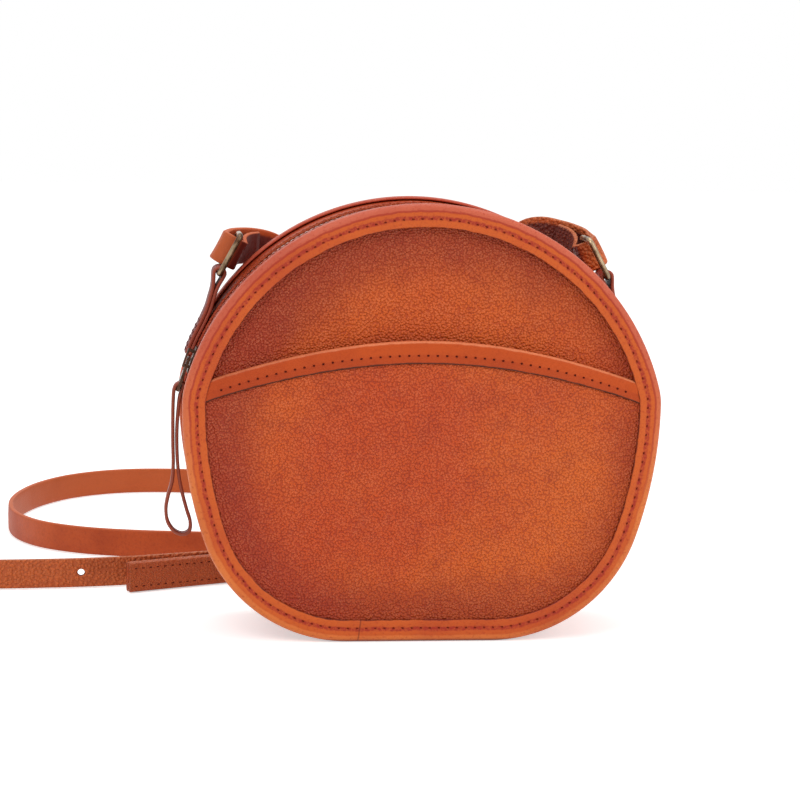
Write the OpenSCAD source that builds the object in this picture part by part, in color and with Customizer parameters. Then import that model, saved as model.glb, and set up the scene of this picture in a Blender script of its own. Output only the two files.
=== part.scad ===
/* [Bag] */
// Width across the hips
bag_w = 209; // [190:1:250]
// Height from the base to the top of the crown
bag_h = 191.5; // [170:0.5:215]
// Depth over both bindings
bag_d = 66; // [62:1:90]
// Radius of the hip, where the crown turns into the side
hip_r = 30; // [20:1:40]
// Angle that the hip arc turns through
hip_a = 15; // [10:1:20]

/* [Leather] */
// Thickness of the panels and gussets
panel_t = 1.8; // [1.2:0.1:2.4]
// Thickness of the binding strip
binding_t = 1.2; // [0.8:0.1:1.6]
// Width of the binding on the panel
binding_face_w = 10; // [7:0.5:14]
// Width of the binding on the gusset
binding_side_w = 8; // [5:0.5:10]
// Radius of the binding's fold
binding_fold_r = 3; // [2:0.25:4]

/* [Pocket] */
// Height of the middle of the pocket's mouth
mouth_h = 132; // [105:1:140]
// Radius of the mouth's arc
mouth_r = 248; // [180:2:400]
// Thickness of the pocket leather
pocket_t = 1.6; // [1.2:0.1:2.2]
// How far the mouth stands forward at its middle
pocket_bulge = 7; // [5:0.5:12]
// Width of the band along the mouth
band_w = 8.5; // [7:0.5:14]
// Thickness of the band
band_t = 1; // [0.8:0.1:1.4]

/* [Zip] */
// Width of the lane between the gusset strips
lane_w = 14; // [12:0.5:18]
// Width of the tape outside the lane
tape_lap_w = 7; // [4:0.5:10]
// Thickness of the tape
tape_t = 0.6; // [0.4:0.1:0.8]
// Half width of the chain of teeth
chain_half_w = 2.5; // [2.2:0.1:3]
// Gap between the two rows of teeth
chain_gap = 1.2; // [1:0.1:1.6]
// Distance from tooth to tooth in a row
tooth_pitch = 2.5; // [2:0.1:4]
// Thickness of a tooth along the chain
tooth_t = 1.3; // [0.9:0.1:1.5]
// Height of a tooth across the tape
tooth_h = 2.6; // [2.2:0.1:3]
// Length of the slider
slider_l = 12; // [9:0.5:16]
// Half width of the slider
slider_half_w = 4.4; // [4.2:0.1:5]
// Thickness of the slider's plates
slider_t = 1; // [0.8:0.1:1.2]
// Length of the puller from its bar to its tip
puller_l = 15; // [13:0.5:20]
// Width of the thong
thong_w = 5.5; // [4:0.25:6]
// Thickness of the thong's leather
thong_t = 1.5; // [1:0.1:1.6]

/* [Rings] */
// Diameter of the ring wire
wire_d = 2.6; // [2:0.1:3.2]
// Clear width inside a ring
ring_in_w = 16; // [15:0.5:20]
// Distance from the near bar to the far bar
ring_l = 19; // [16:0.5:24]
// Thickness of one ply of a tab
tab_ply_t = 1.6; // [1.2:0.1:2]

/* [Strap] */
// Width of the strap and of the tabs
strap_w = 14; // [12:0.5:14.5]
// Thickness of the strap
strap_t = 2.5; // [2:0.1:3]

/* [Hidden] */

// Clearance between a soft piece and what it lies against
seat_gap = 0.3;
// Clearance between metal pieces that slide past each other
slide_gap = 0.25;
// Clearance between a pin and its eye
pin_gap = 0.08;
// Overrun of a cutting shape past the piece that it cuts
overrun = 1;
// Facets of a full turn
turn_fn = 96;
// Angle between the points that are set out along the outline's arcs
outline_step = 3;

// Outline of the bag, as arcs that meet in tangents: centre, radius, first angle, angle turned through
side_share = 0.885;
corner_share = 0.32;
side_r = side_share * bag_w;
corner_r = corner_share * bag_w;
crown_r = (bag_w / 2 - hip_r) / cos(hip_a) + hip_r;
crown_z = bag_h - crown_r;
hip_x = bag_w / 2 - hip_r;
hip_z = crown_z + (crown_r - hip_r) * sin(hip_a);
side_x = side_r - bag_w / 2;
flat_x = sqrt(pow(side_r - corner_r, 2) - pow(hip_z - corner_r, 2)) - side_x;
side_a = atan2(hip_z - corner_r, flat_x + side_x);
OUTLINE = [
    [0, crown_z, crown_r, hip_a, 180 - 2 * hip_a],
    [-hip_x, hip_z, hip_r, 180 - hip_a, hip_a],
    [side_x, hip_z, side_r, 180, side_a],
    [-flat_x, corner_r, corner_r, 180 + side_a, 90 - side_a],
    [flat_x, corner_r, corner_r, 270, 90 - side_a],
    [-side_x, hip_z, side_r, 360 - side_a, side_a],
    [hip_x, hip_z, hip_r, 0, hip_a]
];

// Levels through the depth, forward of the bag's middle
face_y = bag_d / 2;
pocket_out_y = face_y - binding_t;
pocket_in_y = pocket_out_y - pocket_t;
front_in_y = pocket_in_y - panel_t;
back_out_y = binding_t - face_y;
back_in_y = back_out_y + panel_t;

// Insets from the outline
skin_inset = binding_t + seat_gap;
lap_inset = skin_inset + panel_t;
// Stretch of side arc over which the gusset steps in under the zip's ends
joggle_h = 2 * panel_t;

// Mouth of the pocket
mouth_c = mouth_h - mouth_r;
// Width of the pocket's edge under the binding, and the flat margin inside it
pocket_edge_w = binding_face_w + seat_gap;
pocket_margin_w = binding_face_w + 2 * panel_t;

// Zip, along the crown's arc
tape_edge = chain_half_w;
tooth_inset = lap_inset + tape_t / 2 - tooth_h / 2;
stop_l = 2 * tooth_t;
crown_deg = 180 / (PI * crown_r);
stop_a = stop_l * crown_deg;
pitch_a = tooth_pitch * crown_deg;
teeth_from_a = hip_a + stop_a + pitch_a / 2;
tooth_count = floor((180 - 2 * hip_a - 2 * stop_a - pitch_a) / pitch_a);

// Slider, at rest beside the stops at the left end of the zip
slider_a = slider_l * crown_deg;
slider_top = tooth_inset - slide_gap - slider_t;
slider_bottom = tooth_inset + tooth_h + slide_gap;
slider_gap_a = slide_gap * crown_deg;
slider_rest_a = 180 - hip_a - stop_a - slider_gap_a - slider_a / 2;
bridge_l_share = 0.7;
bridge_w_share = 0.28;
bridge_t = 0.8 * slider_t;
post_w = chain_gap / 2;

// Puller, hinged on its bar under the slider's bridge
pin_r = 0.8 * slider_t;
pin_rise = pin_r + slide_gap - slider_top;
pin_x = (crown_r + pin_rise) * cos(slider_rest_a);
pin_z = crown_z + (crown_r + pin_rise) * sin(slider_rest_a);
puller_t = 1.5 * pin_r;
puller_half_w = 0.76 * slider_half_w;
puller_window_half_w = 0.45 * slider_half_w;
puller_window_l = 0.46 * slider_l;
slot_half_w = thong_w / 2 + slide_gap;
slot_l = thong_t + 4 * slide_gap;
tip_l = 2 * slider_t;
tip_half_w = slot_half_w + slider_t;

// Route of the thong, from the puller's bar, as it hangs beside the bag
THONG = [
    [-3.9, -10.9], [-5.7, -11.3], [-6.6, -12.8], [-7.3, -17], [-7.4, -37], [-7.7, -51], [-9.4, -60],
    [-9.8, -67], [-9.2, -73], [-6.8, -77.6], [-3, -79], [0.2, -76.8], [0.8, -73], [-0.4, -68.5],
    [-3.2, -61], [-5.3, -50], [-5.4, -37], [-5.3, -20], [-3.4, -14.4], [-2.6, -12.2], [-2.9, -11]
];

// Rings, from the top of the crown to either side
ring_a = 50.2;
ring_rise = 6.5;
ring_lean_a = 28.3;
tab_from_a = 60;
tab_to_a = 70;
wire_r = wire_d / 2;
ring_corner_r = wire_d;
ring_y = -(face_y - binding_side_w - seat_gap - strap_w / 2);
ring_x = (crown_r + ring_rise) * sin(ring_a);
ring_z = crown_z + (crown_r + ring_rise) * cos(ring_a);
tab_bore_r = wire_r + seat_gap;

// Buckle, lying on its edge on the floor behind the bag
buckle_x = 18;
buckle_y = 115;
buckle_z = 11;
buckle_l = 20;
buckle_in_w = strap_w + 4 * seat_gap;
prong_r = 1;
prong_eye_r = wire_r + pin_gap;
prong_eye_t = 2 * prong_r;
prong_slot_h = 2.2 * prong_eye_t;
prong_rest_a = asin((wire_r + prong_r + seat_gap) / buckle_l);
keeper_t = tab_ply_t;
keeper_from = [2, 109.1, 3.3];
keeper_size = [8, 11.6, 15.4];

// Routes of the straps, each folded round the rear bar of its ring: places of the middle, and the
// direction of the strap's width there
STRAP_SHORT = [
    [[-68.8, 40.9, 166.9], [0.3, 0, 1]], [[-73.6, 38.1, 166.6], [0.35, 0, 1]],
    [[-77.2, 34.4, 165.4], [0.45, 0, 0.9]], [[-78.2, 30.5, 164], [0.47, 0, 0.88]],
    [[-78.2, 27, 164], [0.47, 0, 0.88]], [[-79, 24.2, 164.4], [0.47, 0, 0.88]],
    [[-81.1, 22.5, 165.5], [0.47, 0, 0.88]], [[-83.7, 22.5, 166.9], [0.47, 0, 0.88]],
    [[-85.8, 24.2, 168], [0.47, 0, 0.88]], [[-86.6, 27, 168.5], [0.47, 0, 0.88]],
    [[-86.4, 32, 168.3], [0.47, 0, 0.88]], [[-83.4, 37.4, 168.4], [0.45, 0, 0.9]],
    [[-77.8, 41.2, 168.6], [0.4, 0, 0.95]], [[-70.5, 43.9, 168.2], [0.3, 0, 1]],
    [[-63.3, 46.9, 166.4], [0.2, 0, 1]], [[-57, 50, 162.6], [0.2, 0.1, 1]],
    [[-51, 52.6, 156.4], [0.4, 0.2, 1]], [[-44, 55, 149], [0.8, 0.2, 1]], [[-35, 58, 134], [1, 0, 0.8]],
    [[-24, 59, 119], [1, 0, 0.8]], [[-10, 60, 105], [1, 0, 0.9]], [[6, 61, 92], [1, 0, 1]],
    [[22, 63, 78], [1, 0, 1]], [[36, 67, 62], [0.8, 0, 1]], [[47, 74, 45], [0.6, -0.1, 1]],
    [[55, 86, 28], [0.5, -0.2, 1]], [[60, 102, 15], [0.3, -0.1, 1]], [[62, 122, 8.5], [0, 0, 1]],
    [[62, 145, 7.5], [0, 0, 1]], [[58, 172, 7.5], [0, 0, 1]], [[50, 198, 7.5], [0, 0, 1]],
    [[38, 224, 7.5], [0, 0, 1]], [[22, 250, 7.5], [0, 0, 1]], [[2, 274, 7.5], [0, 0, 1]],
    [[-22, 296, 7.5], [0, 0, 1]], [[-48, 314, 7.5], [0, 0, 1]], [[-76, 328, 7.5], [0, 0, 1]],
    [[-104, 335, 7.5], [0, 0, 1]], [[-132, 332, 7.5], [0, 0, 1]], [[-157, 317, 7.5], [0, 0, 1]],
    [[-175, 292, 7.5], [0, 0, 1]], [[-186, 260, 7.5], [0, 0, 1]], [[-189, 228, 7.5], [0, 0, 1]],
    [[-184, 198, 7.5], [0, 0, 1]], [[-170, 174, 7.5], [0, 0, 1]], [[-148, 158, 7.5], [0, 0, 1]],
    [[-120, 149, 7.5], [0, 0, 1]], [[-90, 143, 7.8], [0, 0, 1]], [[-60, 136, 8.5], [0, 0, 1]],
    [[-32, 128, 9.5], [0, 0, 1]], [[-10, 121.5, 10.6], [0, 0, 1]], [[4, 119, 11], [0, 0, 1]],
    [[12, 118.3, 11], [0, 0, 1]], [[17.6, 118.2, 11], [0, 0, 1]], [[20.2, 117.4, 11], [0, 0, 1]],
    [[21.3, 115, 11], [0, 0, 1]], [[20.2, 112.6, 11], [0, 0, 1]], [[17.6, 111.8, 11], [0, 0, 1]],
    [[12, 111.6, 11], [0, 0, 1]], [[4, 110.8, 10.8], [0, 0, 1]]
];
// The short strap's end, which lies back beside it and has a backing
STRAP_END = [
    [[-12, 107.6, 9.8], [0, 0, 1]], [[-36, 102.4, 8.4], [0, 0, 1]], [[-60, 95.4, 7.6], [0, 0, 1]],
    [[-84, 86.6, 7.5], [0, 0, 1]], [[-106, 77.2, 7.5], [0, 0, 1]], [[-126, 68.4, 7.5], [0, 0, 1]]
];
STRAP_LONG = [
    [[68.6, 40.9, 172.2], [-0.3, 0, 1]], [[73.6, 38.1, 170.4], [-0.35, 0, 1]],
    [[77.2, 34.4, 167.2], [-0.45, 0, 0.9]], [[78.2, 30.5, 164], [-0.47, 0, 0.88]],
    [[78.2, 27, 164], [-0.47, 0, 0.88]], [[79, 24.2, 164.4], [-0.47, 0, 0.88]],
    [[81.1, 22.5, 165.5], [-0.47, 0, 0.88]], [[83.7, 22.5, 166.9], [-0.47, 0, 0.88]],
    [[85.8, 24.2, 168], [-0.47, 0, 0.88]], [[86.6, 27, 168.5], [-0.47, 0, 0.88]],
    [[86.4, 32, 168.6], [-0.47, 0, 0.88]], [[83.4, 37.4, 169.9], [-0.45, 0, 0.9]],
    [[77.8, 41.2, 171.9], [-0.4, 0, 0.95]], [[70.5, 43.9, 173.8], [-0.3, 0, 1]],
    [[63.3, 46.6, 175], [-0.2, 0, 1]], [[57, 50, 173.4], [-0.2, 0.1, 1]],
    [[51.6, 53, 166.8], [-0.3, 0.2, 1]], [[46.6, 57, 157], [-0.5, 0.2, 1]], [[40, 62, 146], [-0.8, 0.1, 1]],
    [[34, 69, 130], [-1, 0, 0.7]], [[29, 75, 112], [-1, 0, 0.4]], [[25, 81, 92], [-1, 0, 0.3]],
    [[20, 88, 72], [-1, 0, 0.4]], [[14, 96, 54], [-1, 0, 0.5]], [[6, 105, 38], [-0.9, 0, 0.8]],
    [[-3, 112, 26], [-0.7, 0, 1]], [[-14, 116, 16], [-0.4, 0, 1]], [[-28, 116, 10], [-0.2, 0, 1]],
    [[-44, 111.5, 7.9], [0, 0, 1]], [[-64, 104.8, 7.5], [0, 0, 1]], [[-84, 98.4, 7.5], [0, 0, 1]],
    [[-104, 91.6, 7.5], [0, 0, 1]], [[-125, 85.4, 7.5], [0, 0, 1]], [[-148, 81, 7.5], [0, 0, 1]],
    [[-170, 79, 7.5], [0, 0, 1]], [[-190, 78, 7.5], [0, 0, 1]], [[-205, 78, 7.5], [0, 0, 1]]
];
// Hole in the long strap's straight end, where the tail shows it
hole_at = [-149, 80.9, 7.7];
hole_r = 1.7;

function on_arc(a, at, inset) = [a[0] + (a[2] - inset) * cos(at), a[1] + (a[2] - inset) * sin(at)];

// Half the outline's width at a height, at an inset
function half_w(h, inset) =
    h >= hip_z + (hip_r - inset) * sin(hip_a)
        ? sqrt(pow(crown_r - inset, 2) - pow(h - crown_z, 2))
    : h >= hip_z ? hip_x + sqrt(pow(hip_r - inset, 2) - pow(h - hip_z, 2))
    : h >= hip_z - (side_r - inset) * sin(side_a)
        ? sqrt(pow(side_r - inset, 2) - pow(h - hip_z, 2)) - side_x
    : flat_x + sqrt(max(0, pow(corner_r - inset, 2) - pow(corner_r - h, 2)));

// Height of the mouth at a distance from the middle, and where the mouth meets an inset
function mouth_at(x) = mouth_c + sqrt(pow(mouth_r, 2) - pow(x, 2));
function mouth_end(inset, h, turns) =
    turns == 0 ? h : mouth_end(inset, mouth_at(half_w(h, inset)), turns - 1);

// How far the pocket stands forward at a place
function bulge_at(x, h) =
    let (
        across = abs(x) / (half_w(h, 0) - pocket_margin_w),
        up = (h - pocket_margin_w) / (mouth_h - pocket_margin_w)
    )
    across >= 1 || up <= 0 ? 0 : pocket_bulge * (1 - across * across) * sin(90 * min(1, up));

// Faces of a grid of points, rows by columns, wound the same way all over
function grid_faces(rows, cols, from, flip) = [
    for (r = [0 : rows - 2]) for (c = [0 : cols - 2])
        let (a = from + r * cols + c, b = a + 1, d = a + cols, e = d + 1)
        for (f = [[a, b, e], [a, e, d]]) flip ? [f[2], f[1], f[0]] : f
];

// Faces of a tube of rings, closed at both ends or joined into a loop
function tube_faces(rings, sides, loop) = concat(
    [
        for (i = [0 : rings - (loop ? 1 : 2)]) for (j = [0 : sides - 1])
            let (
                a = i * sides + j,
                b = i * sides + (j + 1) % sides,
                n = (i + 1) % rings,
                d = n * sides + j,
                e = n * sides + (j + 1) % sides
            )
            for (f = [[a, b, e], [a, e, d]]) f
    ],
    loop ? [] : [
        for (i = [0 : sides / 2 - 2])
            let (a = i, b = i + 1, d = sides - 2 - i, e = sides - 1 - i, n = (rings - 1) * sides)
            for (f = [[d, b, a], [e, d, a], [n + a, n + b, n + d], [n + a, n + d, n + e]]) f
    ]
);

// A strip along a route, with its width turned as the route says
function unit(v) = v / norm(v);
function strip_rings(route, w, t) = [
    for (i = [0 : len(route) - 1])
        let (
            last = len(route) - 1,
            along = unit(route[min(i + 1, last)][0] - route[max(i - 1, 0)][0]),
            flat = unit(cross(along, route[i][1])),
            wide = cross(flat, along),
            at = route[i][0]
        )
        for (k = [[1, 1], [-1, 1], [-1, -1], [1, -1]]) at + wide * (k[0] * w / 2) + flat * (k[1] * t / 2)
];
module strip(route, w, t) {
    polyhedron(strip_rings(route, w, t), tube_faces(len(route), 4, false), convexity = 10);
}

// Stands up what is drawn lying on its back
module stand() {
    rotate([90, 0, 0]) children();
}

// Points along part of an arc of the outline, drawn in by an inset
function arc_run(a, from_a, to_a, inset) =
    let (steps = max(1, ceil(abs(to_a - from_a) / outline_step)))
    [for (i = [0 : steps]) on_arc(a, from_a + (to_a - from_a) * i / steps, inset)];
function whole_arc(k, inset) =
    arc_run(OUTLINE[k], OUTLINE[k][3], OUTLINE[k][3] + OUTLINE[k][4], inset);
function rest(points) = [for (i = [1 : len(points) - 1]) points[i]];
function turned(points) = [for (i = [len(points) - 1 : -1 : 0]) points[i]];

// The bag's outline, drawn in by an inset
module sheet(inset) {
    // The right corner keeps its first point, where the flat base ends
    polygon([
        for (k = [0 : len(OUTLINE) - 1])
            for (p = k == 4 ? whole_arc(k, inset) : rest(whole_arc(k, inset))) p
    ]);
}

// Everything under the arc of the pocket's mouth
module mouth_disc(gap) {
    translate([0, mouth_c]) circle(mouth_r + gap, $fn = 2 * turn_fn);
}

// Revolves an inset profile along the crown, from an angle, through an angle
module along_crown(from_a, turn_a) {
    translate([0, crown_z, 0]) rotate(from_a)
        rotate_extrude(angle = turn_a, $fn = 2 * turn_fn) translate([crown_r, 0]) children();
}

// A rectangle of the inset profile: from an inset, through a depth, from a level, through a height
module slab(inset, depth, from_y, h) {
    translate([-inset - depth, from_y]) square([depth, h]);
}

// Panels
module front_panel() {
    color("peru") stand() translate([0, 0, front_in_y]) linear_extrude(panel_t) sheet(skin_inset);
}
module back_panel() {
    color("peru") stand() translate([0, 0, back_out_y]) linear_extrude(panel_t) sheet(skin_inset);
}

// Pocket: a sewn edge under the binding, then a dished sheet up to the mouth
pocket_side_steps = 12;
pocket_base_steps = 5;
pocket_rows = 7;
function pocket_rim(inset, drop) =
    let (
        top = mouth_end(inset, mouth_h, pocket_rows) - drop,
        side = [
            for (i = [0 : pocket_side_steps])
                let (h = inset + (top - inset) * (1 - sin(90 * i / pocket_side_steps)))
                [-half_w(h, inset), h]
        ],
        base = [
            for (i = [1 : pocket_base_steps - 1]) [flat_x * (2 * i / pocket_base_steps - 1), inset]
        ]
    )
    concat(side, base, [for (i = [pocket_side_steps : -1 : 0]) [-side[i][0], side[i][1]]]);
function pocket_grid(y) =
    let (
        outer = pocket_rim(skin_inset, 0),
        inner = pocket_rim(pocket_edge_w, panel_t / 2),
        last = len(outer) - 1,
        mouth_x = half_w(mouth_end(pocket_edge_w, mouth_h, pocket_rows), pocket_edge_w)
    )
    concat(
        [for (p = outer) [p[0], p[1], y]],
        [
            for (r = [0 : pocket_rows]) for (i = [0 : last])
                let (
                    x = mouth_x * (2 * i / last - 1),
                    share = r / pocket_rows,
                    p = inner[i] * (1 - share) + [x, mouth_at(x)] * share
                )
                [p[0], p[1], y + bulge_at(p[0], p[1])]
        ]
    );
module pocket_panel() {
    rows = pocket_rows + 2;
    cols = 2 * pocket_side_steps + pocket_base_steps + 1;
    n = rows * cols;
    rim = concat(
        [for (c = [0 : cols - 1]) c],
        [for (r = [1 : rows - 1]) r * cols + cols - 1],
        [for (c = [cols - 2 : -1 : 0]) (rows - 1) * cols + c],
        [for (r = [rows - 2 : -1 : 1]) r * cols]
    );
    color("peru") stand() polyhedron(
        concat(pocket_grid(pocket_out_y), pocket_grid(pocket_in_y)),
        concat(
            grid_faces(rows, cols, 0, true),
            grid_faces(rows, cols, n, false),
            [
                for (i = [0 : len(rim) - 1])
                    let (a = rim[i], b = rim[(i + 1) % len(rim)])
                    for (f = [[a, b, b + n], [a, b + n, a + n]]) f
            ]
        ),
        convexity = 6
    );
}

// Band folded over the mouth
band_steps = 28;
module pocket_band() {
    end_x = half_w(mouth_end(pocket_edge_w, mouth_h, pocket_rows), pocket_edge_w) - seat_gap;
    rings = [
        for (i = [0 : band_steps])
            let (
                x = end_x * (1 - 2 * i / band_steps),
                h = mouth_at(x),
                low = pocket_out_y + bulge_at(x, h - band_w) + seat_gap,
                middle = pocket_out_y + bulge_at(x, h - band_w / 2) + seat_gap,
                top = pocket_out_y + bulge_at(x, h) + seat_gap,
                under = pocket_in_y + bulge_at(x, h)
            )
            for (p = [
                [h - band_w, low], [h - band_w / 2, middle], [h + seat_gap, top], [h + seat_gap, under],
                [h + seat_gap + band_t, under], [h + seat_gap + band_t, top + band_t],
                [h - band_w / 2, middle + band_t], [h - band_w, low + band_t]
            ]) [x, p[0], p[1]]
    ];
    color("sienna") stand() polyhedron(rings, tube_faces(band_steps + 1, 8, false), convexity = 6);
}

// Binding: a strip folded over the edge, on the panel and on the gusset, and filled down to the panel
// round the crown where there is no pocket under it
binding_step_a = 5;
fold_steps = 4;
function binding_profile(under) = concat(
    [[-binding_face_w, 0]],
    [
        for (i = [0 : fold_steps])
            let (t = 90 * i / fold_steps) binding_fold_r * [sin(t) - 1, cos(t) - 1]
    ],
    [
        [0, -binding_side_w], [-binding_t, -binding_side_w], [-binding_t, -under - seat_gap],
        [-skin_inset, -under], [-binding_face_w, -under]
    ]
);
function arc_stations(a, from_a, to_a, under) =
    let (n = ceil((to_a - from_a) / binding_step_a))
    [for (i = [0 : n]) [a, from_a + (to_a - from_a) * i / n, under]];
module binding_strip(fill) {
    fill_h = mouth_end(binding_face_w, mouth_h, pocket_rows) + seat_gap;
    fill_a = max(hip_a + 2 * slider_gap_a, asin((fill_h - crown_z) / (crown_r - binding_face_w)));
    crown = OUTLINE[0];
    stations = concat(
        [[crown, hip_a, binding_t], [crown, fill_a - slider_gap_a, binding_t]],
        arc_stations(crown, fill_a, 180 - fill_a, binding_t + fill),
        [[crown, 180 - fill_a + slider_gap_a, binding_t]],
        [
            for (k = [1 : len(OUTLINE) - 1])
                let (a = OUTLINE[k], all = arc_stations(a, a[3], a[3] + a[4], binding_t))
                for (i = [0 : len(all) - (k == 3 ? 1 : 2)]) all[i]
        ]
    );
    points = [
        for (s = stations) for (p = binding_profile(s[2]))
            let (at = on_arc(s[0], s[1], -p[0])) [at[0], at[1], p[1]]
    ];
    polyhedron(
        points,
        tube_faces(len(stations), len(binding_profile(binding_t)), true),
        convexity = 10
    );
}
module front_binding() {
    color("saddlebrown") stand() translate([0, 0, face_y]) binding_strip(pocket_t);
}
module back_binding() {
    color("saddlebrown") stand() translate([0, 0, -face_y]) mirror([0, 0, 1]) binding_strip(0);
}

// Gussets
// Either end of the lower gusset steps in and runs on under the zip's ends
function lower_half() =
    let (
        side = OUTLINE[5],
        turn_a = 360 - side_a,
        under = lap_inset + panel_t,
        step_a = 360 - asin(joggle_h / (side_r - lap_inset)),
        under_a = 360 - asin(joggle_h / (side_r - under))
    )
    concat(
        whole_arc(4, skin_inset),
        rest(whole_arc(5, skin_inset)),
        whole_arc(6, lap_inset),
        turned(whole_arc(6, under)),
        [on_arc(side, under_a, under)],
        arc_run(side, step_a, turn_a, lap_inset),
        rest(turned(whole_arc(4, lap_inset)))
    );
module lower_gusset() {
    half = lower_half();
    color("peru") stand() translate([0, 0, back_in_y]) linear_extrude(front_in_y - back_in_y)
        polygon(concat(half, [for (p = turned(half)) [-p[0], p[1]]]));
}
function over_the_top(inset) =
    concat(whole_arc(6, inset), rest(whole_arc(0, inset)), rest(whole_arc(1, inset)));
module zip_gusset(from_y, to_y) {
    color("peru") stand() translate([0, 0, from_y]) linear_extrude(to_y - from_y)
        polygon(concat(over_the_top(skin_inset), turned(over_the_top(lap_inset))));
}
module zip_gusset_front() {
    zip_gusset(lane_w / 2, front_in_y);
}
module zip_gusset_back() {
    zip_gusset(back_in_y, -lane_w / 2);
}

// Tapes, teeth and stops of the zip
module zip_tape() {
    color("dimgray") translate([0, 0, tape_edge]) linear_extrude(lane_w / 2 + tape_lap_w - tape_edge)
        polygon(concat(whole_arc(0, lap_inset), turned(whole_arc(0, lap_inset + tape_t))));
}
module zip_tape_front() {
    stand() zip_tape();
}
module zip_tape_back() {
    stand() mirror([0, 0, 1]) zip_tape();
}
module tooth() {
    half_t = tooth_t / 2;
    neck = (tape_edge + chain_gap / 2) / 2;
    nose_share = 0.6;
    translate([crown_r - tooth_inset - tooth_h, 0, 0]) rotate([90, 0, 90]) linear_extrude(tooth_h) polygon([
        [half_t, tape_edge], [-half_t, tape_edge], [-half_t, neck],
        [-half_t * nose_share, chain_gap / 2], [half_t * nose_share, chain_gap / 2], [half_t, neck]
    ]);
}
module teeth(shift) {
    color("silver") translate([0, crown_z, 0])
        for (i = [0 : tooth_count - 1]) rotate(teeth_from_a + (i + shift) * pitch_a) tooth();
}
module zip_teeth_front() {
    stand() teeth(0.25);
}
module zip_teeth_back() {
    stand() mirror([0, 0, 1]) teeth(0.75);
}
module zip_stops() {
    color("silver") stand() {
        along_crown(hip_a, stop_a) slab(tooth_inset, tooth_h, -tape_edge, 2 * tape_edge);
        for (m = [0, 1]) mirror([0, 0, m]) along_crown(180 - hip_a - stop_a, stop_a)
            slab(tooth_inset, tooth_h, chain_gap / 2, tape_edge - chain_gap / 2);
    }
}

// Slider: two plates with turned rims, joined by a post at the end that closes the teeth
module zip_slider() {
    from_a = slider_rest_a - slider_a / 2;
    rim_y = slider_half_w - slider_t;
    bridge_a = bridge_l_share * slider_a;
    bridge_half_w = bridge_w_share * slider_half_w;
    leg_a = 1.5 * bridge_t * crown_deg;
    arch_inset = slider_top - 2 * (pin_r + slide_gap);
    color("dimgray") stand() {
        along_crown(from_a, slider_a) {
            slab(slider_top, slider_t, -slider_half_w, 2 * slider_half_w);
            slab(slider_bottom, slider_t, -slider_half_w, 2 * slider_half_w);
            for (m = [0, 1]) mirror([0, m]) {
                slab(slider_top, lap_inset - slide_gap - slider_top, rim_y, slider_t);
                slab(
                    lap_inset + tape_t + slide_gap,
                    slider_bottom + slider_t - lap_inset - tape_t - slide_gap, rim_y, slider_t
                );
            }
        }
        along_crown(from_a + 0.75 * slider_a, 0.2 * slider_a)
            slab(slider_top + slider_t / 2, slider_bottom - slider_top, -post_w / 2, post_w);
        along_crown(slider_rest_a - bridge_a / 2, bridge_a)
            slab(arch_inset - bridge_t, bridge_t, -bridge_half_w, 2 * bridge_half_w);
        for (a = [-bridge_a / 2, bridge_a / 2 - leg_a]) along_crown(slider_rest_a + a, leg_a)
            slab(
                arch_inset - bridge_t / 2, slider_top + slider_t / 2 - arch_inset + bridge_t / 2,
                -bridge_half_w, 2 * bridge_half_w
            );
    }
}

// Puller: a plate on its bar, with a window for the bridge and a slot for the thong
module zip_puller() {
    slot_x = puller_l - tip_l - slot_l;
    color("dimgray") stand() translate([pin_x, pin_z, 0]) rotate(slider_rest_a + 90) {
        translate([0, 0, -puller_half_w]) cylinder(h = 2 * puller_half_w, r = pin_r, $fn = 32);
        translate([0, puller_t / 2, 0]) rotate([90, 0, 0]) linear_extrude(puller_t) difference() {
            union() {
                translate([0, -puller_half_w]) square([slot_x, 2 * puller_half_w]);
                intersection() {
                    translate([slot_x + slot_l / 2, 0]) circle(tip_half_w + tip_l, $fn = turn_fn);
                    translate([slot_x - tip_l, -tip_half_w]) square([puller_l - slot_x + tip_l, 2 * tip_half_w]);
                }
            }
            translate([pin_r / 2, -puller_window_half_w]) square([puller_window_l, 2 * puller_window_half_w]);
            translate([slot_x, -slot_half_w]) square([slot_l, 2 * slot_half_w]);
        }
    }
}

// Thong: a loop of leather through the puller's slot
function beside(path, d) = [
    for (i = [0 : len(path) - 1])
        let (along = unit(path[(i + 1) % len(path)] - path[(i + len(path) - 1) % len(path)]))
        path[i] + d * [along[1], -along[0]]
];
module zip_thong() {
    color("maroon") stand() translate([pin_x, pin_z, -thong_w / 2]) linear_extrude(thong_w) difference() {
        polygon(beside(THONG, thong_t / 2));
        polygon(beside(THONG, -thong_t / 2));
    }
}

// A frame of round wire: from its near bar at the origin to its far bar
module wire_frame(l, in_w) {
    half = in_w / 2 + wire_r;
    bar = half - ring_corner_r;
    side = l - 2 * ring_corner_r;
    for (x = [0, l]) translate([x, 0, -bar]) cylinder(h = 2 * bar, r = wire_r, $fn = 48);
    for (z = [-half, half]) translate([ring_corner_r, 0, z]) rotate([0, 90, 0])
        cylinder(h = side, r = wire_r, $fn = 48);
    for (m = [0, 1]) mirror([0, 0, m]) {
        translate([ring_corner_r, 0, bar]) rotate([90, 0, 0]) rotate(90)
            rotate_extrude(angle = 90, $fn = 48) translate([ring_corner_r, 0]) circle(wire_r, $fn = 48);
        translate([l - ring_corner_r, 0, bar]) rotate([90, 0, 0])
            rotate_extrude(angle = 90, $fn = 48) translate([ring_corner_r, 0]) circle(wire_r, $fn = 48);
    }
}
module ring_right() {
    color("darkgoldenrod") stand() translate([ring_x, ring_z, ring_y]) rotate(90 + ring_lean_a)
        wire_frame(ring_l, ring_in_w);
}
module ring_left() {
    color("darkgoldenrod") mirror([1, 0, 0]) ring_right();
}

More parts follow.
